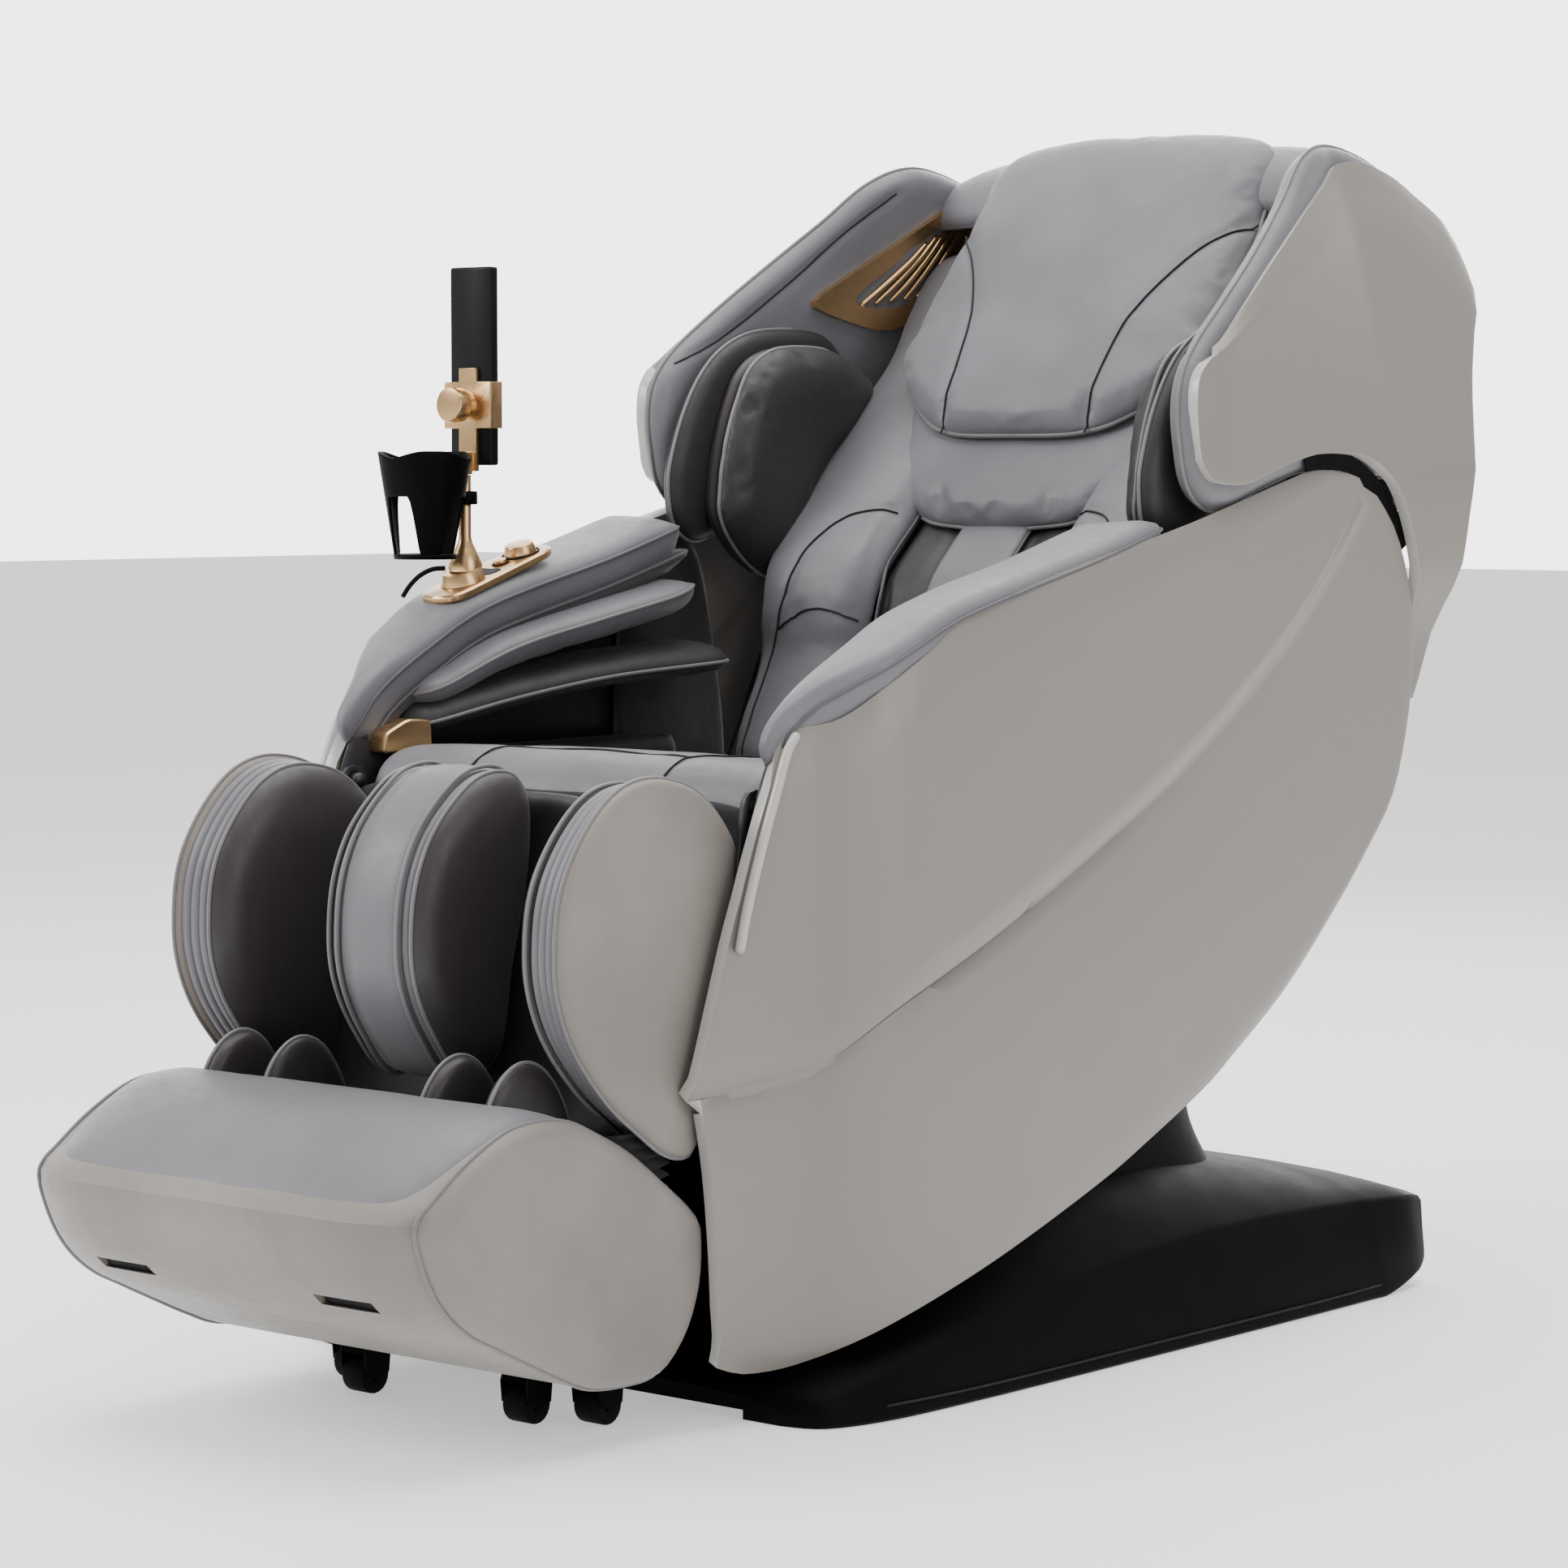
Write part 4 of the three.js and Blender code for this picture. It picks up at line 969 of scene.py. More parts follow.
end = FOOT_TOP.length
pad_outline = [(-120, 2), (0, 0), (120, 2), (190, 6), (228, 20), (240, 60), (248, 140), (252, end - 12),
    (244, end), (200, end + 2), (96, end + 2), (0, end + 8), (-96, end + 2), (-200, end + 2), (-244, end),
    (-252, end - 12), (-248, 140), (-240, 60), (-228, 20), (-190, 6)]
foot_top = Cushion("foot_top_pad", pad_outline, foot_pad_place, GREY, "foot_rest", front=6, rear=6, edge=12,
    puff=6, stands_for=("foot_pad",), fill=0.6, count=150, wobble=0.8)
foot_top.piping(PIPE_DARK, 2.6)
for s, suffix in SIDES:
    # Welt around each side of the pale cover.
    side_line = foot_station(s * 246)
    tube("foot_side_welt", [(p[0] + s * 0.8, p[1] - 0.6, p[2]) for p in side_line], 2.1, PIPE, "foot_rest",
        closed=True, count=160)
    for node in ("caster_outer", "caster_inner"):
        dressed(f"{node}_{suffix}", RUBBER, 1.2)
        (x0, y0, z0), (x1, y1, z1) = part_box(f"{node}_{suffix}")
        cx, cy, cz = (x0 + x1) / 2 / MM, (y0 + y1) / 2 / MM, (z0 + z1) / 2 / MM
        bracket = [(cy - 15, cz + 2), (cy - 17, cz + 22), (cy - 12, cz + 34), (cy - 12, cz + 60),
            (cy + 12, cz + 60), (cy + 12, cz + 34), (cy + 17, cz + 22), (cy + 15, cz + 2), (cy, cz - 4)]
        for dx in (-18, 15):
            prism("caster_cheek", bracket, lambda u, v, h, dx=dx: (cx + dx + h, u, v), 3, BLACK, "foot_rest",
                0.6)
        prism("caster_hood", [(cy - 17, cz + 22), (cy - 12, cz + 30), (cy + 12, cz + 30), (cy + 17, cz + 22),
            (cy, cz + 20.5)], lambda u, v, h: (cx - 15 + h, u, v), 30, BLACK, "foot_rest", 0.6)
    # The arched ankle flaps on both sides of each pale-lined foot well.
    for x in (100, 190):
        facing = 1 if x > 145 else -1
        flap = [(-748, 236), (-750, 280), (-742, 316), (-722, 342), (-696, 352), (-670, 342), (-650, 316),
            (-640, 284), (-636, 244), (-660, 226), (-696, 220), (-730, 224)]
        outer = Cushion("ankle_flap", flap, lambda u, v, h, x=x, f=facing,
            s=s: (s * (x - f * h - f * 4 * clamp((v - 250) / 100)), u, v), TAUPE, "foot_rest", front=11,
            rear=7, edge=9, puff=5, slot="leather_dark", fill=0.6, count=80, rings=12)
        outer.piping(PIPE, 2.0)
        small = [(-738, 240), (-738, 276), (-726, 300), (-704, 312), (-680, 302), (-666, 276), (-664, 244),
            (-684, 230), (-720, 230)]
        Cushion("ankle_bladder", small, lambda u, v, h, x=x, f=facing, s=s: (s * (x - f * 15 - f * h), u, v),
            DARK, "foot_rest", front=7, rear=4, edge=7, puff=6, slot="leather_dark", fill=0.6, count=64,
            rings=10).piping(PIPE_DARK, 1.6)
dressed("foot_rods", STEEL, 0.8)
for s in (1, -1):
    prism("vent_lip", closed_curve([(-40, 154.5), (-30, 148), (0, 146.5), (30, 148), (40, 154.5), (30, 161),
        (0, 162.5), (-30, 161)], 32), lambda u, v, h, s=s: (s * 145 + u, -868.5 + (162 - v) * 0.52 + 6 - h,
        v), 12, SEAM, "foot_rest", 0.5)

# ---- Calf rest --------------------------------------------------------------------------------------------
CALF_OUTLINE = [(-656, 588), (-620, 604), (-580, 605), (-537, 592), (-501, 562), (-480, 524), (-487, 458),
    (-510, 386), (-529, 320), (-541, 262), (-576, 261), (-618, 288), (-656, 318), (-697, 366), (-718, 412),
    (-723, 456), (-716, 508), (-692, 552)]


def shrunk(outline, by):
    """The outline moved inwards by a distance."""
    pts = closed_curve(outline, 96)
    turn = 1 if turns_left(pts) else -1
    out = []
    for i, (u, v) in enumerate(pts):
        tu, tv = pts[(i + 1) % 96][0] - pts[i - 1][0], pts[(i + 1) % 96][1] - pts[i - 1][1]
        size = math.hypot(tu, tv) or 1
        out.append((u - turn * tv / size * by, v + turn * tu / size * by))
    return out[::3]


CALF_MID = [(-636, 596), (-600, 608), (-568, 602), (-548, 570), (-552, 500), (-572, 420), (-590, 340),
    (-640, 318), (-684, 366), (-706, 412), (-711, 456), (-704, 508), (-680, 556)]
for s, suffix in SIDES:
    outer = Cushion("calf_side_panel", CALF_OUTLINE, across(s, 250, False), PALE, "calf_rest", front=9,
        rear=8, edge=12, puff=4, stands_for=("calf_bolster_" + suffix,), fill=0.8)
    outer.piping(PIPE, 2.0)
    for k, x in enumerate((239, 229, 219)):
        Cushion("calf_rib", shrunk(CALF_OUTLINE, 3 + 1.5 * k), across(s, x), GREY, "calf_rest", front=6.5,
            rear=6.5, edge=7, puff=0, fill=0.6, rings=8, wobble=1.0, seed=k * 7.0)
    inner = Cushion("calf_inner_pad", shrunk(CALF_OUTLINE, 7), across(s, 208), TAUPE, "calf_rest", front=14,
        rear=6, edge=26, puff=15, slot="leather_dark", fill=0.7, seed=3.0)
    inner.piping(PIPE, 2.2)
    Cushion("calf_mid_rib", shrunk(CALF_MID, 4), across(s, 45, False), GREY, "calf_rest", front=5.5, rear=5.5,
        edge=6, puff=0, fill=0.6, rings=8, wobble=0.8)
    pad = Cushion("calf_mid_side", shrunk(CALF_MID, 5), across(s, 54, False), TAUPE, "calf_rest", front=11,
        rear=5, edge=24, puff=9, slot="leather_dark", fill=0.7, seed=5.0)
    pad.piping(PIPE, 2.2)
Cushion("calf_mid_strip", CALF_MID, lambda u, v, h: (h, u, v), GREY, "calf_rest", front=39, rear=39, edge=5,
    puff=0, stands_for=("calf_bolster_middle",), fill=0.85, rings=18, wobble=0.4)
for s in (1, -1):
    tube("calf_mid_welt", [(s * 39, u, v) for u, v in closed_curve(CALF_MID, 60)], 2.2, PIPE, "calf_rest",
        closed=True, count=140)
calf_line = Rail([(-574, 262), (-558, 340), (-543, 400), (-530, 470), (-524, 530), (-530, 584)])
Cushion("calf_back_pad", [(-184, 6), (0, 2), (184, 6), (187, 160), (184, 300), (100, 322), (0, 324),
    (-100, 322), (-184, 300), (-187, 160)], lambda u, v, h: (u, *calf_line.at(v, -h)), DARK, "calf_rest",
    front=7, rear=9, edge=12, puff=2, slot="leather_dark", stands_for=("calf_pad",), fill=0.7,
    grooves=(([(-128, 20), (-128, 300)], 4, 4), ([(128, 20), (128, 300)], 4, 4)))
frame_side = Rail([(-528, 262), (-503, 374), (-475, 500), (-466, 542), (-468, 580)])
Cushion("calf_cover", [(-250, 2), (0, 0), (250, 2), (254, 60), (254, 250), (248, 316), (0, 322), (-248, 316),
    (-254, 250), (-254, 60)], lambda u, v, h: (u, *frame_side.at(v, -h)), CLOTH_BLACK, "calf_rest", front=6,
    rear=6, edge=8, puff=2, slot="black_plastic", stands_for=("calf_frame",), fill=0.8)
for s in (1, -1):
    tube("knee_pin", [(s * x, *KNEE) for x in (254, 260, 266)], 8, STEEL, "calf_rest", count=4, sides=20)


def gaiter_ring(z, spread):
    return soft_rectangle(0, 236 + spread, -652 - spread, -542 + spread, z, 72, 0.35, 0.4)


pleats = [gaiter_ring(212 + 5.5 * k, (4.5 if k % 2 else -4.5) + 3 * clamp(k / 10)) for k in range(14)]
gaiter = loft("leg_gaiter", pleats, CLOTH_BLACK, None, capped=False, subsurf=0)
add_wall(gaiter, 1.2)
bpy.context.view_layer.update()
thick = baked(gaiter)
gaiter.modifiers.clear()
gaiter.data = thick
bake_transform(gaiter)

# ---- Seat cushion -----------------------------------------------------------------------------------------
SEAT_LINE = Rail([(-437, 512), (-452, 545), (-446, 578), (-424, 592), (-370, 589), (-283, 582), (-150, 562),
    (25, 536), (66, 528)])
end = SEAT_LINE.length
seat = Cushion("seat_pad", [(-250, 4), (0, 0), (250, 4), (258, 40), (259, end * 0.5), (256, end - 20),
    (240, end), (0, end + 2), (-240, end), (-256, end - 20), (-259, end * 0.5), (-258, 40)],
    on_rail(SEAT_LINE), GREY, "seat", front=10, rear=46, edge=20, puff=6, count=150, rings=30,
    stands_for=("seat_cushion",), fill=0.7, grooves=(([(-128, 60), (-120, end * 0.5), (-112, end - 6)], 5, 5),
    ([(128, 60), (120, end * 0.5), (112, end - 6)], 5, 5), ([(-126, 118), (0, 130), (126, 118)], 5, 5)))
settle(seat, 7)
for line in ([(-128, 60), (-120, end * 0.5), (-112, end - 10)], [(128, 60), (120, end * 0.5),
        (112, end - 10)], [(-126, 118), (0, 130), (126, 118)]):
    seat.seam(line, lift=1.5)

# ---- Arms -------------------------------------------------------------------------------------------------
ARM_LINE = Rail([(-466, 616), (-460, 636), (-440, 658), (-408, 682), (-348, 714), (-290, 742), (-206, 766),
    (-88, 794), (26, 826)])
ARM_SPAN = ARM_LINE.length


SHELL_INSIDE = [(-580, 282), (-500, 285), (-462, 289), (-440, 299), (-412, 319), (-376, 343), (-328, 354),
    (-262, 361), (-200, 366), (-86, 369), (60, 371), (480, 371)]


def within_shell(x, y):
    """Narrows the arm's full width to the room inside the drawn-in shell."""
    room = np.interp(y, [row[0] for row in SHELL_INSIDE], [row[1] for row in SHELL_INSIDE])
    return ARM_IN + (x - ARM_IN) * (room - ARM_IN) / (ARM_OUT - ARM_IN)


def arm_place(side, drop=0.0):
    def place(u, v, h):
        y, z = ARM_LINE.at(v, h - drop)
        return (side * within_shell(u, y), y, z - 5 + 5 * clamp((u - ARM_IN) / 90))
    return place


SHELL_STRIP = Rail([(-532, 446), (-520, 488), (-499, 545), (-480, 590), (-464, 628), (-448, 646)])
for s, suffix in SIDES:
    outline = [(272, 20), (290, 4), (330, 0), (362, 8), (371, 40), (372, ARM_SPAN * 0.5),
        (372, ARM_SPAN - 26), (360, ARM_SPAN - 4), (320, ARM_SPAN + 1), (284, ARM_SPAN - 4),
        (270, ARM_SPAN - 24), (268, ARM_SPAN * 0.5), (268, 60)]
    arm = Cushion("arm_top_pad", outline, arm_place(s), GREY, "seat", front=11, rear=30, edge=15, puff=5,
        count=130, rings=18, stands_for=("arm_pad_" + suffix,), fill=0.75, centre=(320, ARM_SPAN * 0.5))
    arm.piping(PIPE_DARK, 2.3)
    # Lower, slightly set back part of the pad's side.
    under = Cushion("arm_side_band", [(278, 40), (300, 16), (360, 16), (366, 60), (368, ARM_SPAN - 20),
        (350, ARM_SPAN - 8), (290, ARM_SPAN - 8), (276, ARM_SPAN - 24)], arm_place(s, 30), SIDE, "seat",
        front=10, rear=16, edge=10, puff=0, count=110, rings=10, fill=0.8, centre=(320, ARM_SPAN * 0.5))
    under.piping(PIPE_DARK, 1.8)
    # Padded lower body of the arm, with the recess above it.
    body_outline = [(-484, 566), (-494, 530), (-506, 480), (-512, 440), (-470, 430), (-300, 429), (0, 429),
        (30, 440), (34, 520), (34, 588), (10, 599), (-200, 599), (-400, 599), (-432, 606), (-446, 622),
        (-458, 622), (-470, 604)]

    def body_place(u, v, h, s=s):
        return (s * within_shell(296 - h, u), u, v)
    arm_seam = [(-470, 560), (-420, 552), (-200, 548), (16, 540)]
    lower = Cushion("arm_lower_body", body_outline, body_place, DARK, "seat", front=22, rear=54, edge=22,
        puff=3, count=130, rings=22, slot="leather_dark", stands_for=("arm_core_" + suffix,), fill=0.85,
        centre=(-230, 515), grooves=((arm_seam, 3, 4),))
    lower.seam(arm_seam, lift=0.3)
    wall_outline = [(-420, 602), (-200, 598), (30, 598), (40, 640), (40, 770), (-88, 746), (-206, 716),
        (-290, 690), (-348, 660), (-412, 634)]
    Cushion("arm_recess_wall", wall_outline, lambda u, v, h, s=s: (s * within_shell(352 - h, u), u, v), DARK,
        "seat", front=10, rear=14, edge=12, puff=2, count=110, rings=14, slot="leather_dark", fill=0.8,
        centre=(-120, 660))
    # Two airbag flaps that press on the forearm; each is a folded bladder on a curved line.
    upper_line = Rail([(-388, 652), (-330, 672), (-256, 702), (-133, 728), (10, 754), (30, 762)])
    span = upper_line.length
    flap = [(252, 60), (262, 24), (300, 6), (334, 10), (338, 60), (338, span - 20), (320, span),
        (270, span - 2), (240, span - 30), (236, span * 0.55)]
    upper = Cushion("arm_upper_airbag", flap, lambda u, v, h, s=s: (s * u, *upper_line.at(v, -h)), GREY,
        "seat", front=18, rear=12, edge=30, puff=8, count=110, rings=16,
        stands_for=("arm_airbag_upper_" + suffix,), fill=0.5, centre=(292, span * 0.55),
        grooves=tuple((([(244, span * k), (280, span * (k - 0.05))], 2.2, 5) for k in (0.45, 0.55, 0.65,
        0.75))), wobble=1.6)
    upper.piping(PIPE, 2.0)
    lower_line = Rail([(-400, 622), (-330, 636), (-244, 652), (-120, 668), (30, 676), (72, 678)])
    span = lower_line.length
    flap = [(250, 70), (262, 26), (300, 6), (334, 10), (338, 60), (338, span - 20), (320, span),
        (264, span - 2), (232, span - 22), (230, span * 0.6)]
    bag = Cushion("arm_lower_airbag", flap, lambda u, v, h, s=s: (s * u, *lower_line.at(v, h)), DARK, "seat",
        front=15, rear=13, edge=30, puff=8, count=110, rings=16, slot="leather_dark",
        stands_for=("arm_airbag_lower_" + suffix,), fill=0.5, centre=(292, span * 0.55), wobble=1.6, seed=4.0)
    bag.piping(PIPE, 2.0)
    dressed("hand_grip_" + suffix, GOLD, 3.0, 3)
    # Pale front cap between the shell and the upholstered arm; its pale paint is the rim's painted highlight.
    strip = []
    steps = 26
    for k in range(steps + 1):
        d = SHELL_STRIP.length * k / steps
        ring = []
        for x, h in ((298, 3), (302, -3), (296, -8), (284, -22), (276, -31), (271, -33), (270, -29),
                (276, -20), (286, -6), (292, 2)):
            y, z = SHELL_STRIP.at(d, h)
            ring.append((s * (x + 3), y, z))
        strip.append(ring)
    cap = loft("arm_front_cap", strip, SHELL_RIM_HIGHLIGHT, "seat", subsurf=1)

# ---- Controls on the sitter's right arm -------------------------------------------------------------------
for node, finish, width in (("control_plate", GOLD, 2.4), ("control_knob", GOLD, 1.6),
        ("control_button", GOLD, 0.8), ("controller_post", GOLD, 0.8), ("controller_bracket", GOLD, 1.4),
        ("bracket_knob", GOLD, 2.0), ("controller", SCREEN, 2.4), ("controller_lead", RUBBER, 0.0)):
    if width:
        dressed(node, finish, width, 3)
    else:
        lead = bpy.data.objects[node]
        smooth_shaded(lead.data)
        for slot in lead.material_slots:
            slot.material = finish
# Cup holder: a flared band on three legs, an open foot and the arm to its ring on the post.
CUP = (-306, -326, 792.5)


def cup_point(angle, z, out=0.0):
    r = 31.4 + 17.6 * (z + 4) / 114 + out
    return (CUP[0] + r * math.cos(angle), CUP[1] + r * math.sin(angle), CUP[2] + 4 + z)


cup_verts, cup_faces, around, high = [], [], 96, 14  # points around the band and up it
for i in range(around):
    angle = 2 * math.pi * i / around
    nearest = min(abs((angle - math.radians(c) + math.pi) % (2 * math.pi) - math.pi) for c in (90, 215, 325))
    low = -2 + 62 * smooth(nearest, math.radians(17), math.radians(36))
    rim = 106 - 7 * smooth(nearest, math.radians(10), math.radians(60))
    for j in range(high):
        cup_verts.append(cup_point(angle, lerp(low, rim, j / (high - 1))))
for i in range(around):
    for j in range(high - 1):
        a, b = i * high + j, (i + 1) % around * high + j
        cup_faces.append((a, b, b + 1, a + 1))
cup = mesh_object("cup_band", cup_verts, cup_faces, BLACK, "cup")
add_wall(cup, 3)
add_bevel(cup, 1.0, 2, 50)
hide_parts("cup_holder")
foot_ring = [[cup_point(2 * math.pi * k / 48, z, out) for k in range(48)] for z,
    out in ((-4, -3), (-4, 0.6), (1, 0.8), (1.5, -4), (-1, -9), (-4, -9))]
loft("cup_foot", foot_ring + [foot_ring[0]], BLACK, "cup", capped=False, subsurf=0)
solid_box("cup_arm", (-312, -289, 845), (-300, -279, 858), BLACK, "cup", 1.5)
collar = [[(POST[0] + r * math.cos(2 * math.pi * k / 32), POST[1] + r * math.sin(2 * math.pi * k / 32),
    z) for k in range(32)] for r, z in ((7.2, 848), (12, 848), (13, 849), (13, 861), (12, 862), (7.2, 862))]
loft("cup_ring", collar + [collar[0]], BLACK, "cup", capped=False, subsurf=0)
PLATE = (-306, -232, 771.5)
SLOPE = math.atan2(27, 84)


def on_plate(u, v, h):
    c, s = math.cos(SLOPE), math.sin(SLOPE)
    return (PLATE[0] + u, PLATE[1] + v * c - h * s, PLATE[2] + v * s + h * c)


inlay = closed_curve([(-16, -6), (0, -8), (16, -6), (18, 10), (0, 11), (-18, 10)], 32)
prism("plate_inlay", [(u, v - 8) for u, v in inlay], lambda u, v, h: on_plate(u, v, 8.2 + h), 1.4, BLACK,
    "seat", 0.5)
ring = [on_plate(19.5 * math.cos(a), 52 + 19.5 * math.sin(a),
    9.4) for a in (2 * math.pi * k / 24 for k in range(24))]
tube("dial_ring", ring, 1.2, BLACK, "seat", closed=True, count=60)
ring = [on_plate(8.6 * math.cos(a), 20 + 8.6 * math.sin(a),
    9.2) for a in (2 * math.pi * k / 20 for k in range(20))]
tube("button_ring", ring, 0.8, BLACK, "seat", closed=True, count=44)
(x0, y0, z0), (x1, y1, z1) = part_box("controller")
cx, low_end = (x0 + x1) / 2 / MM, z0 / MM
glass = [(-23, 96), (23, 96), (24, 100), (24, 182), (20, 190), (-20, 190), (-24, 182), (-24, 100)]
prism("controller_glass", glass, lambda u, v, h: (cx + u, y1 / MM - 0.6 + h, low_end + v), 1.4, BLACK,
    "bracket", 0.5)
for v in (30, 50, 70):
    for u in (-12, 0, 12):
        prism("controller_key", closed_curve([(u - 4, v), (u, v + 4), (u + 4, v), (u, v - 4)], 16), lambda p,
            q, h: (cx + p, y1 / MM - 0.4 + h, low_end + q), 1.2, SCREEN, "bracket", 0.4)

# ---- Backrest ---------------------------------------------------------------------------------------------
BACK_LINE = Rail([(78, 548), (81, 561), (149, 667), (160, 722), (178, 771), (243, 836), (307, 900),
    (406, 1001), (500, 1128)])
end = BACK_LINE.length
for s, suffix in SIDES:
    def side_place(u, v, h, s=s):
        y, z = BACK_LINE.at(v, h - 12 * clamp((u - 190) / 110) ** 2)
        return (s * u, y, z)
    outline = [(132, 4), (180, 0), (226, 4), (248, 40), (262, 110), (274, 200), (290, 300), (298, 420),
        (298, 560), (292, end - 8), (200, end), (118, end - 8), (108, 560), (106, 420), (106, 300),
        (108, 200), (118, 110), (128, 40)]
    curve = [(214, 10), (224, 90), (226, 170), (206, 262), (176, 306), (142, 322), (120, 326)]
    cross = [(120, 196), (170, 204), (224, 186)]
    side_pad = Cushion("back_side_pad", outline, side_place, GREY, "backrest", front=18, rear=12, edge=24,
        puff=8, count=150, rings=26, slot="leather_dark", fill=0.7, centre=(196, end * 0.5),
        grooves=((curve, 5, 4.5), (cross, 3.5, 4)), stands_for=("back_pad",) if s > 0 else ())
    settle(side_pad, 6)
    side_pad.seam(curve[:-1] + [(124, 326)], lift=1.0)
    side_pad.seam(cross, lift=1.0)
    side_pad.piping(PIPE_DARK, 2.0)
channel_line = [(-112, 8), (0, 4), (112, 8), (116, 150), (114, end * 0.5), (116, end - 10), (0, end),
    (-116, end - 10), (-114, end * 0.5), (-116, 150)]
Cushion("back_channel", channel_line, lambda u, v, h: (u, *BACK_LINE.at(v, h - 16)), DARK, "backrest",
    front=7, rear=14, edge=12, puff=0, slot="leather_dark", fill=0.6, centre=(0, end * 0.5),
    grooves=(([(-56, 20), (-56, end - 20)], 4, 5), ([(56, 20), (56, end - 20)], 4, 5)))
flap_line = [(-44, 20), (0, 12), (44, 20), (47, 110), (46, end * 0.45), (48, end * 0.6), (0, end * 0.62),
    (-48, end * 0.6), (-46, end * 0.45), (-47, 110)]
Cushion("back_flap", flap_line, lambda u, v, h: (u, *BACK_LINE.at(v, h - 6)), GREY, "backrest", front=5,
    rear=5, edge=8, puff=2, fill=0.5, centre=(0, end * 0.3), wobble=1.2).piping(PIPE_DARK, 1.7)

LEAN = math.atan(0.736)
UP = (math.sin(LEAN), math.cos(LEAN))  # (y, z) along the upper backrest
OUT = (-math.cos(LEAN), math.sin(LEAN))


def leaning(y0, z0, bow, half, lift=0.0):
    """Places (x, distance up) on a plane that leans with the upper backrest; its sides fall back."""
    def place(u, v, h):
        d = h + lift - bow * (u / half) ** 2
        return (u, y0 + UP[0] * v + OUT[0] * d, z0 + UP[1] * v + OUT[1] * d)
    return place


neck_outline = [(0, 0), (60, 3), (100, 11), (137, 29), (170, 54), (192, 92), (196, 130), (196, 200),
    (180, 230), (0, 236), (-180, 230), (-196, 200), (-196, 130), (-192, 92), (-170, 54), (-137, 29),
    (-100, 11), (-60, 3)]
neck = Cushion("neck_cushion", neck_outline, leaning(237, 808, 10, 200, 12), GREY, "backrest", front=14,
    rear=10, edge=22, puff=8, stands_for=("neck_pad",), fill=0.6, count=140, wobble=0.9)
settle(neck, 6)
neck.piping(PIPE, 2.6)
pillow_half = [(0, 0), (80, 4), (130, 22), (180, 66), (212, 112), (214, 150), (210, 230), (202, 320),
    (194, 384), (160, 424), (80, 436)]
pillow_outline = pillow_half + [(0, 438)] + [(-u, v) for u, v in reversed(pillow_half[1:])]
pillow_seam = [(98, 4), (100, 90), (112, 160), (150, 235), (207, 300)]
PILLOW_LINE = Rail([(256, 914), (316, 995), (375, 1075), (435, 1157), (476, 1212), (498, 1232), (524, 1241),
    (552, 1238)])
pillow = Cushion("pillow_cushion", pillow_outline, on_rail(PILLOW_LINE, 14, 210), GREY, "pillow", front=15,
    rear=12, edge=26, puff=10, stands_for=("head_pillow",), fill=0.65, count=170, rings=30, wobble=1.2,
    grooves=((pillow_seam, 3.2, 5), ([(-u, v) for u, v in pillow_seam], 3.2, 5)))
settle(pillow, 7)
pillow.piping(PIPE, 2.9)
for sign in (1, -1):
    pillow.seam([(sign * u, v) for u, v in [(97, 10), *pillow_seam[1:-1], (200, 292)]], lift=1.0)

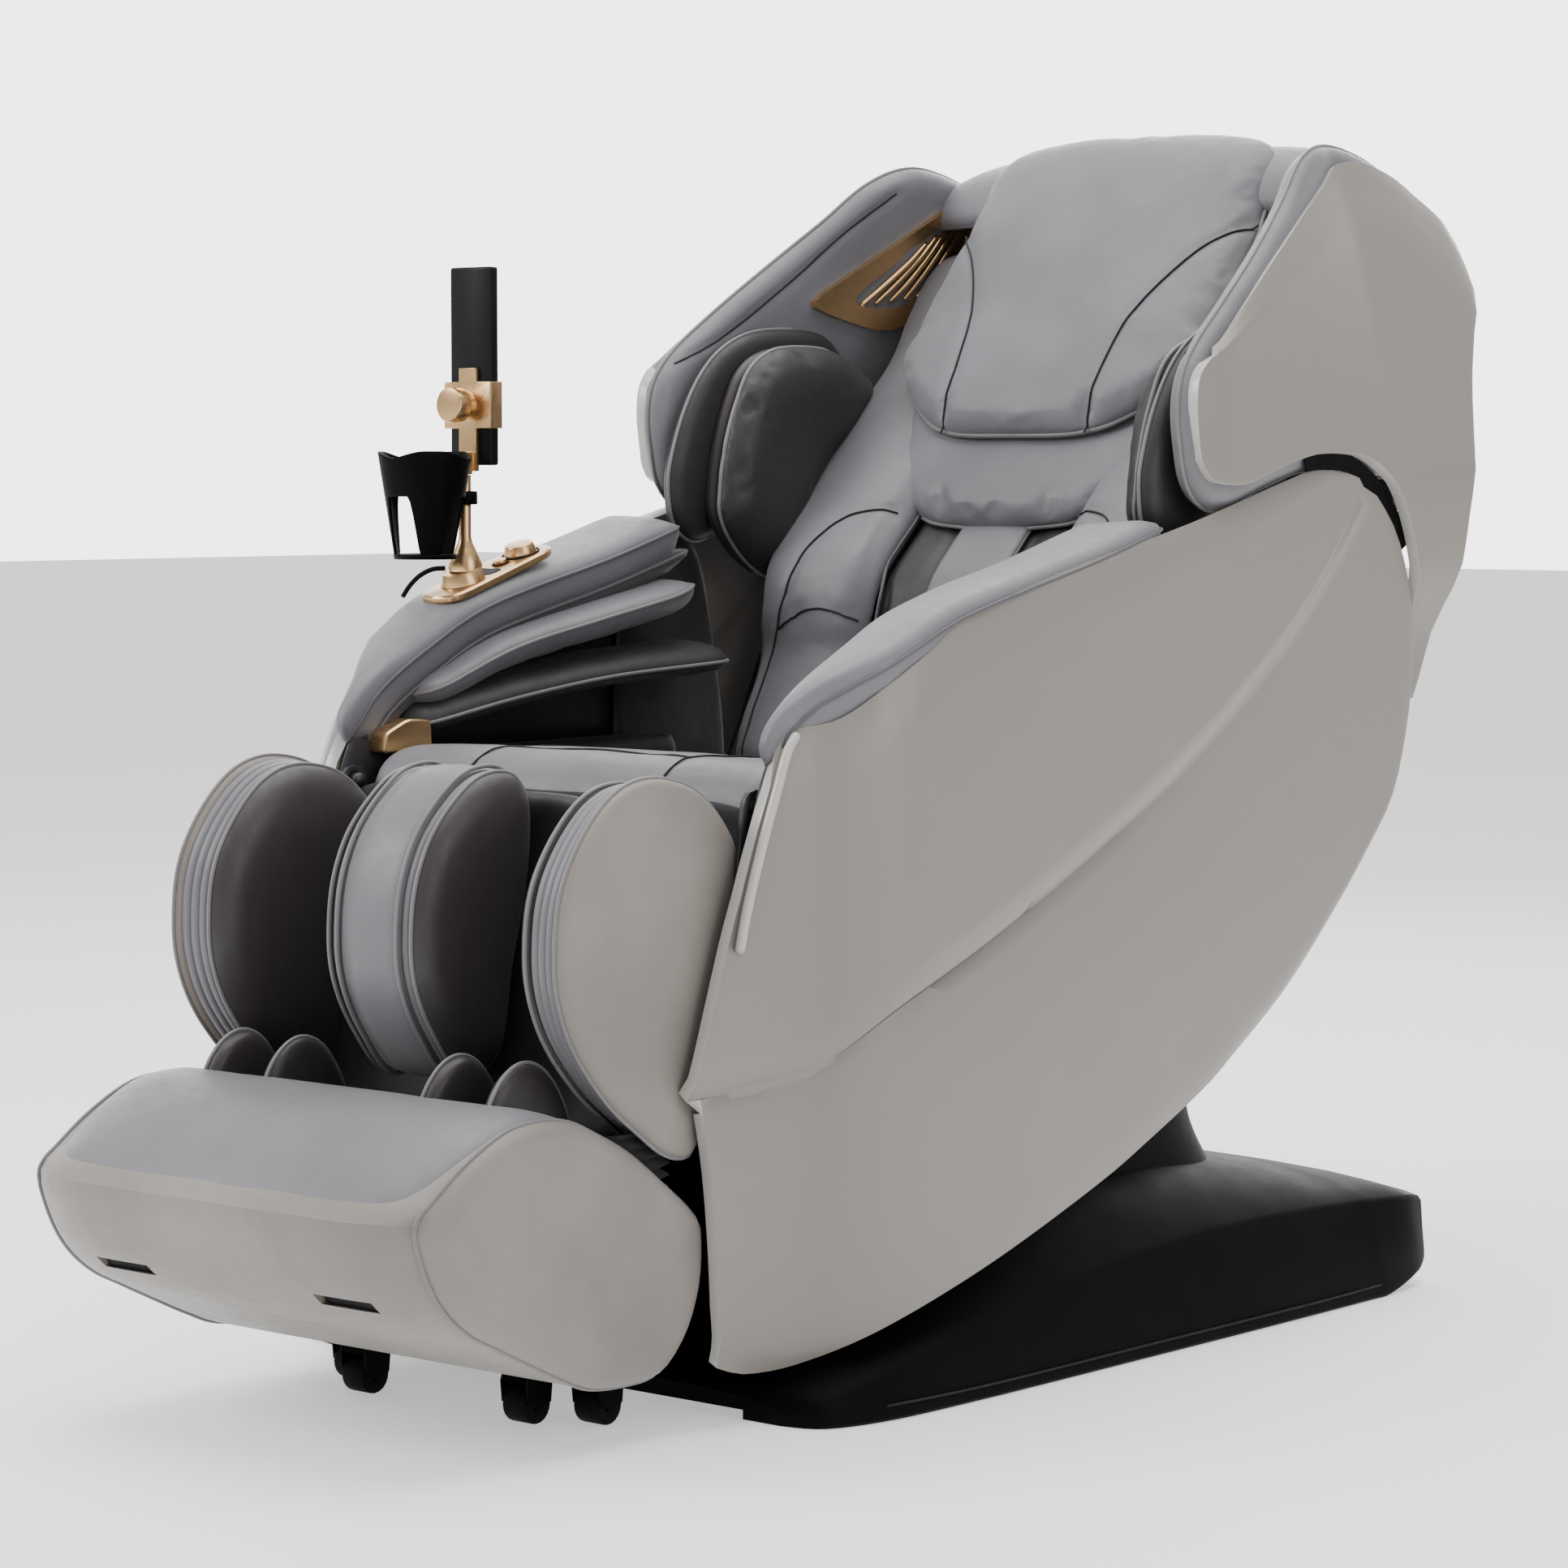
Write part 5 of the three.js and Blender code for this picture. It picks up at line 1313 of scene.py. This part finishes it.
for s, suffix in SIDES:
    outer_bag = [(58, 868), (64, 900), (82, 944), (108, 984), (142, 1014), (190, 1034), (250, 1040),
        (316, 1036), (352, 1000), (330, 950), (270, 900), (200, 852), (140, 818), (96, 806), (66, 826)]
    inner_bag = [(176, 762), (130, 788), (98, 828), (96, 866), (104, 908), (120, 954), (146, 998),
        (186, 1020), (236, 1026), (284, 1022), (334, 1002), (358, 978), (330, 930), (280, 880), (232, 816),
        (204, 772)]
    back_bag = Cushion("shoulder_outer", outer_bag, across(s, 316), DARK, "backrest", front=10, rear=16,
        edge=16, puff=4, slot="leather_dark", stands_for=("shoulder_airbag_" + suffix,), fill=0.6, wobble=1.2)
    back_bag.piping(PIPE, 2.0)
    Cushion("shoulder_fold", shrunk(inner_bag, 6), across(s, 296), TAUPE, "backrest", front=9, rear=9,
        edge=12, puff=2, slot="leather_dark", fill=0.6)
    front_bag = Cushion("shoulder_inner", inner_bag, across(s, 280), DARK, "backrest", front=14, rear=8,
        edge=26, puff=12, slot="leather_dark", fill=0.6, wobble=1.4, seed=2.0)
    settle(front_bag, 5)
    front_bag.piping(PIPE, 2.6)
    # Quilted lining inside the wing.
    def lining_place(u, v, h, s=s):
        return (s * (wing_x(u, v) - 30 - h), u, v)
    lining = [(84, 868), (74, 900), (68, 940), (76, 978), (104, 1012), (160, 1054), (240, 1110), (310, 1160),
        (370, 1206), (430, 1226), (500, 1218), (560, 1196), (600, 1166), (618, 1110), (600, 1010), (560, 920),
        (500, 880), (400, 878), (300, 884), (220, 868), (150, 846), (110, 846)]
    wing_liner = Cushion("wing_lining", lining, lining_place, GREY, "backrest", front=18, rear=15, edge=18,
        puff=3, count=150, rings=22, stands_for=("wing_pad_" + suffix,), fill=0.7, centre=(330, 1010),
        grooves=(([(96, 1000), (170, 1034), (262, 1096), (330, 1150), (400, 1200)], 3, 4),))
    wing_liner.piping(PIPE, 2.2)
    wing_liner.seam([(98, 1000), (170, 1034), (262, 1096), (330, 1150), (396, 1196)], lift=0.4)
    # Gold speaker grille: a frame with slanting fins over a dark recess.
    def grille_place(u, v, h, s=s):
        return (s * (wing_x(u, v) - 50 - h), u, v)
    plate = closed_curve([(290, 1066), (296, 1078), (322, 1094), (380, 1128), (440, 1164), (490, 1190),
        (530, 1200), (556, 1186), (530, 1140), (490, 1092), (440, 1052), (400, 1042), (340, 1052)], 80)
    grille = prism("speaker_frame", plate, grille_place, 7, GOLD, "backrest", 0)
    window = closed_curve([(352, 1072), (398, 1066), (440, 1076), (482, 1110), (516, 1152), (520, 1176),
        (486, 1170), (440, 1142), (396, 1110), (362, 1088)], 60)
    carve(grille, prism("cut_window", window, lambda u, v, h, s=s: grille_place(u, v, h - 6, s), 20, BLACK,
        "backrest"))
    add_bevel(grille, 1.8, 3, 30)
    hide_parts("speaker_grille_" + suffix)
    for k in range(5):
        low, high = (364 + 22 * k, 1069 + 3 * k), (452 + 16 * k, 1142 + 8 * k)
        fin = [(*low, 1), (lerp(low[0], high[0], 0.3), lerp(low[1], high[1], 0.3), 4.5),
            (lerp(low[0], high[0], 0.7), lerp(low[1], high[1], 0.7), 4.5), (*high, 1)]
        path = [grille_place(u, v, h, s) for u, v, h in fin]
        tube("speaker_fin", path, 3.6, GOLD, "backrest", sides=12)
    prism("speaker_recess", [(330 + (u - 330) * 0.93 + 6, 1090 + (v - 1090) * 0.9 + 3) for u, v in plate],
        lambda u, v, h, s=s: grille_place(u, v, h - 2.6, s), 1.6, BLACK, "backrest")
    # Dark web that closes the running gap between the wing and the shell's shoulder.
    web = [(RECLINE[0] + r * math.cos(a), RECLINE[1] + r * math.sin(a)) for r,
        angles in ((166, range(28, 104, 4)), (189, range(100, 24, -4))) for a in map(math.radians, angles)]
    prism("shoulder_web", web, lambda u, v, h, s=s: (s * (371.2 + h), u, v), 1.2, BLACK, "seat")
    # Dark lining of the shell beside the seat, behind the arm.
    inner_lining = [(0, 440), (150, 440), (170, 560), (150, 700), (120, 800), (60, 812), (0, 800)]
    Cushion("side_lining", inner_lining, across(s, 335), DARK, "seat", front=4, rear=4, edge=6, puff=1,
        slot="leather_dark", fill=0.9, rings=8, count=70, wobble=0.2)

CROWN_LINE = Rail([(452, 1160), (462, 1184), (482, 1208), (514, 1222), (548, 1220), (584, 1200), (612, 1164),
    (622, 1140)])
end = CROWN_LINE.length
crown = Cushion("crown_hood", [(-290, 30), (-262, 6), (-120, 0), (0, 0), (120, 0), (262, 6), (290, 30),
    (294, end * 0.5), (290, end - 14), (262, end), (0, end + 2), (-262, end), (-290, end - 14),
    (-294, end * 0.5)], lambda u, v, h: (u, *CROWN_LINE.at(v, h - 26 * clamp((abs(u) - 150) / 140) ** 2)),
    GREY, "backrest", front=9, rear=14, edge=16, puff=5, count=140, stands_for=("crown_pad",), fill=0.7,
    grooves=(([(-286, end * 0.52), (286, end * 0.52)], 3, 4),))
crown.piping(PIPE_DARK, 2.2)
crown.seam([(-280, end * 0.52), (0, end * 0.52), (280, end * 0.52)], lift=0.4)

# Hard rear shell with a raised middle panel, vents and side joints.
REAR_LINE = Rail([(602, 1158), (632, 1130), (646, 1084), (638, 1040), (622, 998), (602, 925), (583, 860),
    (549, 770), (500, 650), (472, 566)])
end = REAR_LINE.length


def rear_place(u, v, h):
    y, z = REAR_LINE.at(v, h - 14 * clamp((abs(u) - 170) / 130) ** 2)
    return (u, y, z)


rear_verts, nu, nv = [], 60, 64
for j in range(nv + 1):
    v = end * j / nv
    half = lerp(282, 296, clamp(v / 160)) - 10 * clamp((v - end + 90) / 90)
    for i in range(nu + 1):
        u = half * (2 * i / nu - 1)
        panel = smooth(178 - abs(u), -6, 6) * smooth(v, 66, 82) * smooth(end - 60 - v, 0, 16)
        rear_verts.append(rear_place(u, v, 2 + 5 * panel))
rear = mesh_object("rear_shell_panel", rear_verts, grid_faces(nu + 1, nv + 1), SHELL, "backrest")
rear.data.materials.append(SHELL_RIM_HIGHLIGHT)
face_along(rear, 1, 1)
add_wall(rear, PANEL_WALL)
add_bevel(rear, 2.4, 3, 50)
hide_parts("rear_shell")
for k in range(6):
    v = end * 0.56 + 17 * k
    slot_shape = closed_curve([(-92, v - 3), (-98, v), (-92, v + 3), (0, v + 3.2), (92, v + 3), (98, v),
        (92, v - 3), (0, v - 3.2)], 40)
    prism("rear_vent", slot_shape, lambda u, q, h: rear_place(u, q, 5.6 + h), 2.2, BLACK, "backrest", 0.5)
for s in (1, -1):
    tube("rear_panel_joint", [rear_place(s * 178, v, 4.4) for v in (76, 160, 260, 380, 480, end - 54)], 1.3,
        SEAM, "backrest", sides=6)
tube("rear_top_joint", [rear_place(u, 72, 4.4) for u in (-172, -60, 60, 172)], 1.3, SEAM, "backrest", sides=6)
for node in ("back_frame", "massage_carriage", "seat_frame"):
    dressed(node, STEEL, 0.8)
dressed("kneading_rollers", RUBBER, 1.5, 3)

# Moulded closing cover under the seat's rear, between the side shells.
CLOSE_LINE = Rail([(238, 352), (290, 392), (338, 440), (372, 486), (392, 520)])
close_verts, columns, rows = [], 61, 25
for j in range(rows):
    v = CLOSE_LINE.length * j / (rows - 1)
    for i in range(columns):
        u = 364 * (2 * i / (columns - 1) - 1)
        rib = 2.4 * (0.5 + 0.5 * math.cos(u * 2 * math.pi / 60)) * smooth(330 - abs(u), 0, 30)
        close_verts.append((u, *CLOSE_LINE.at(v, -rib)))
closing = mesh_object("rear_closing_cover", close_verts, grid_faces(columns, rows), BLACK, "seat")
add_wall(closing, 4)
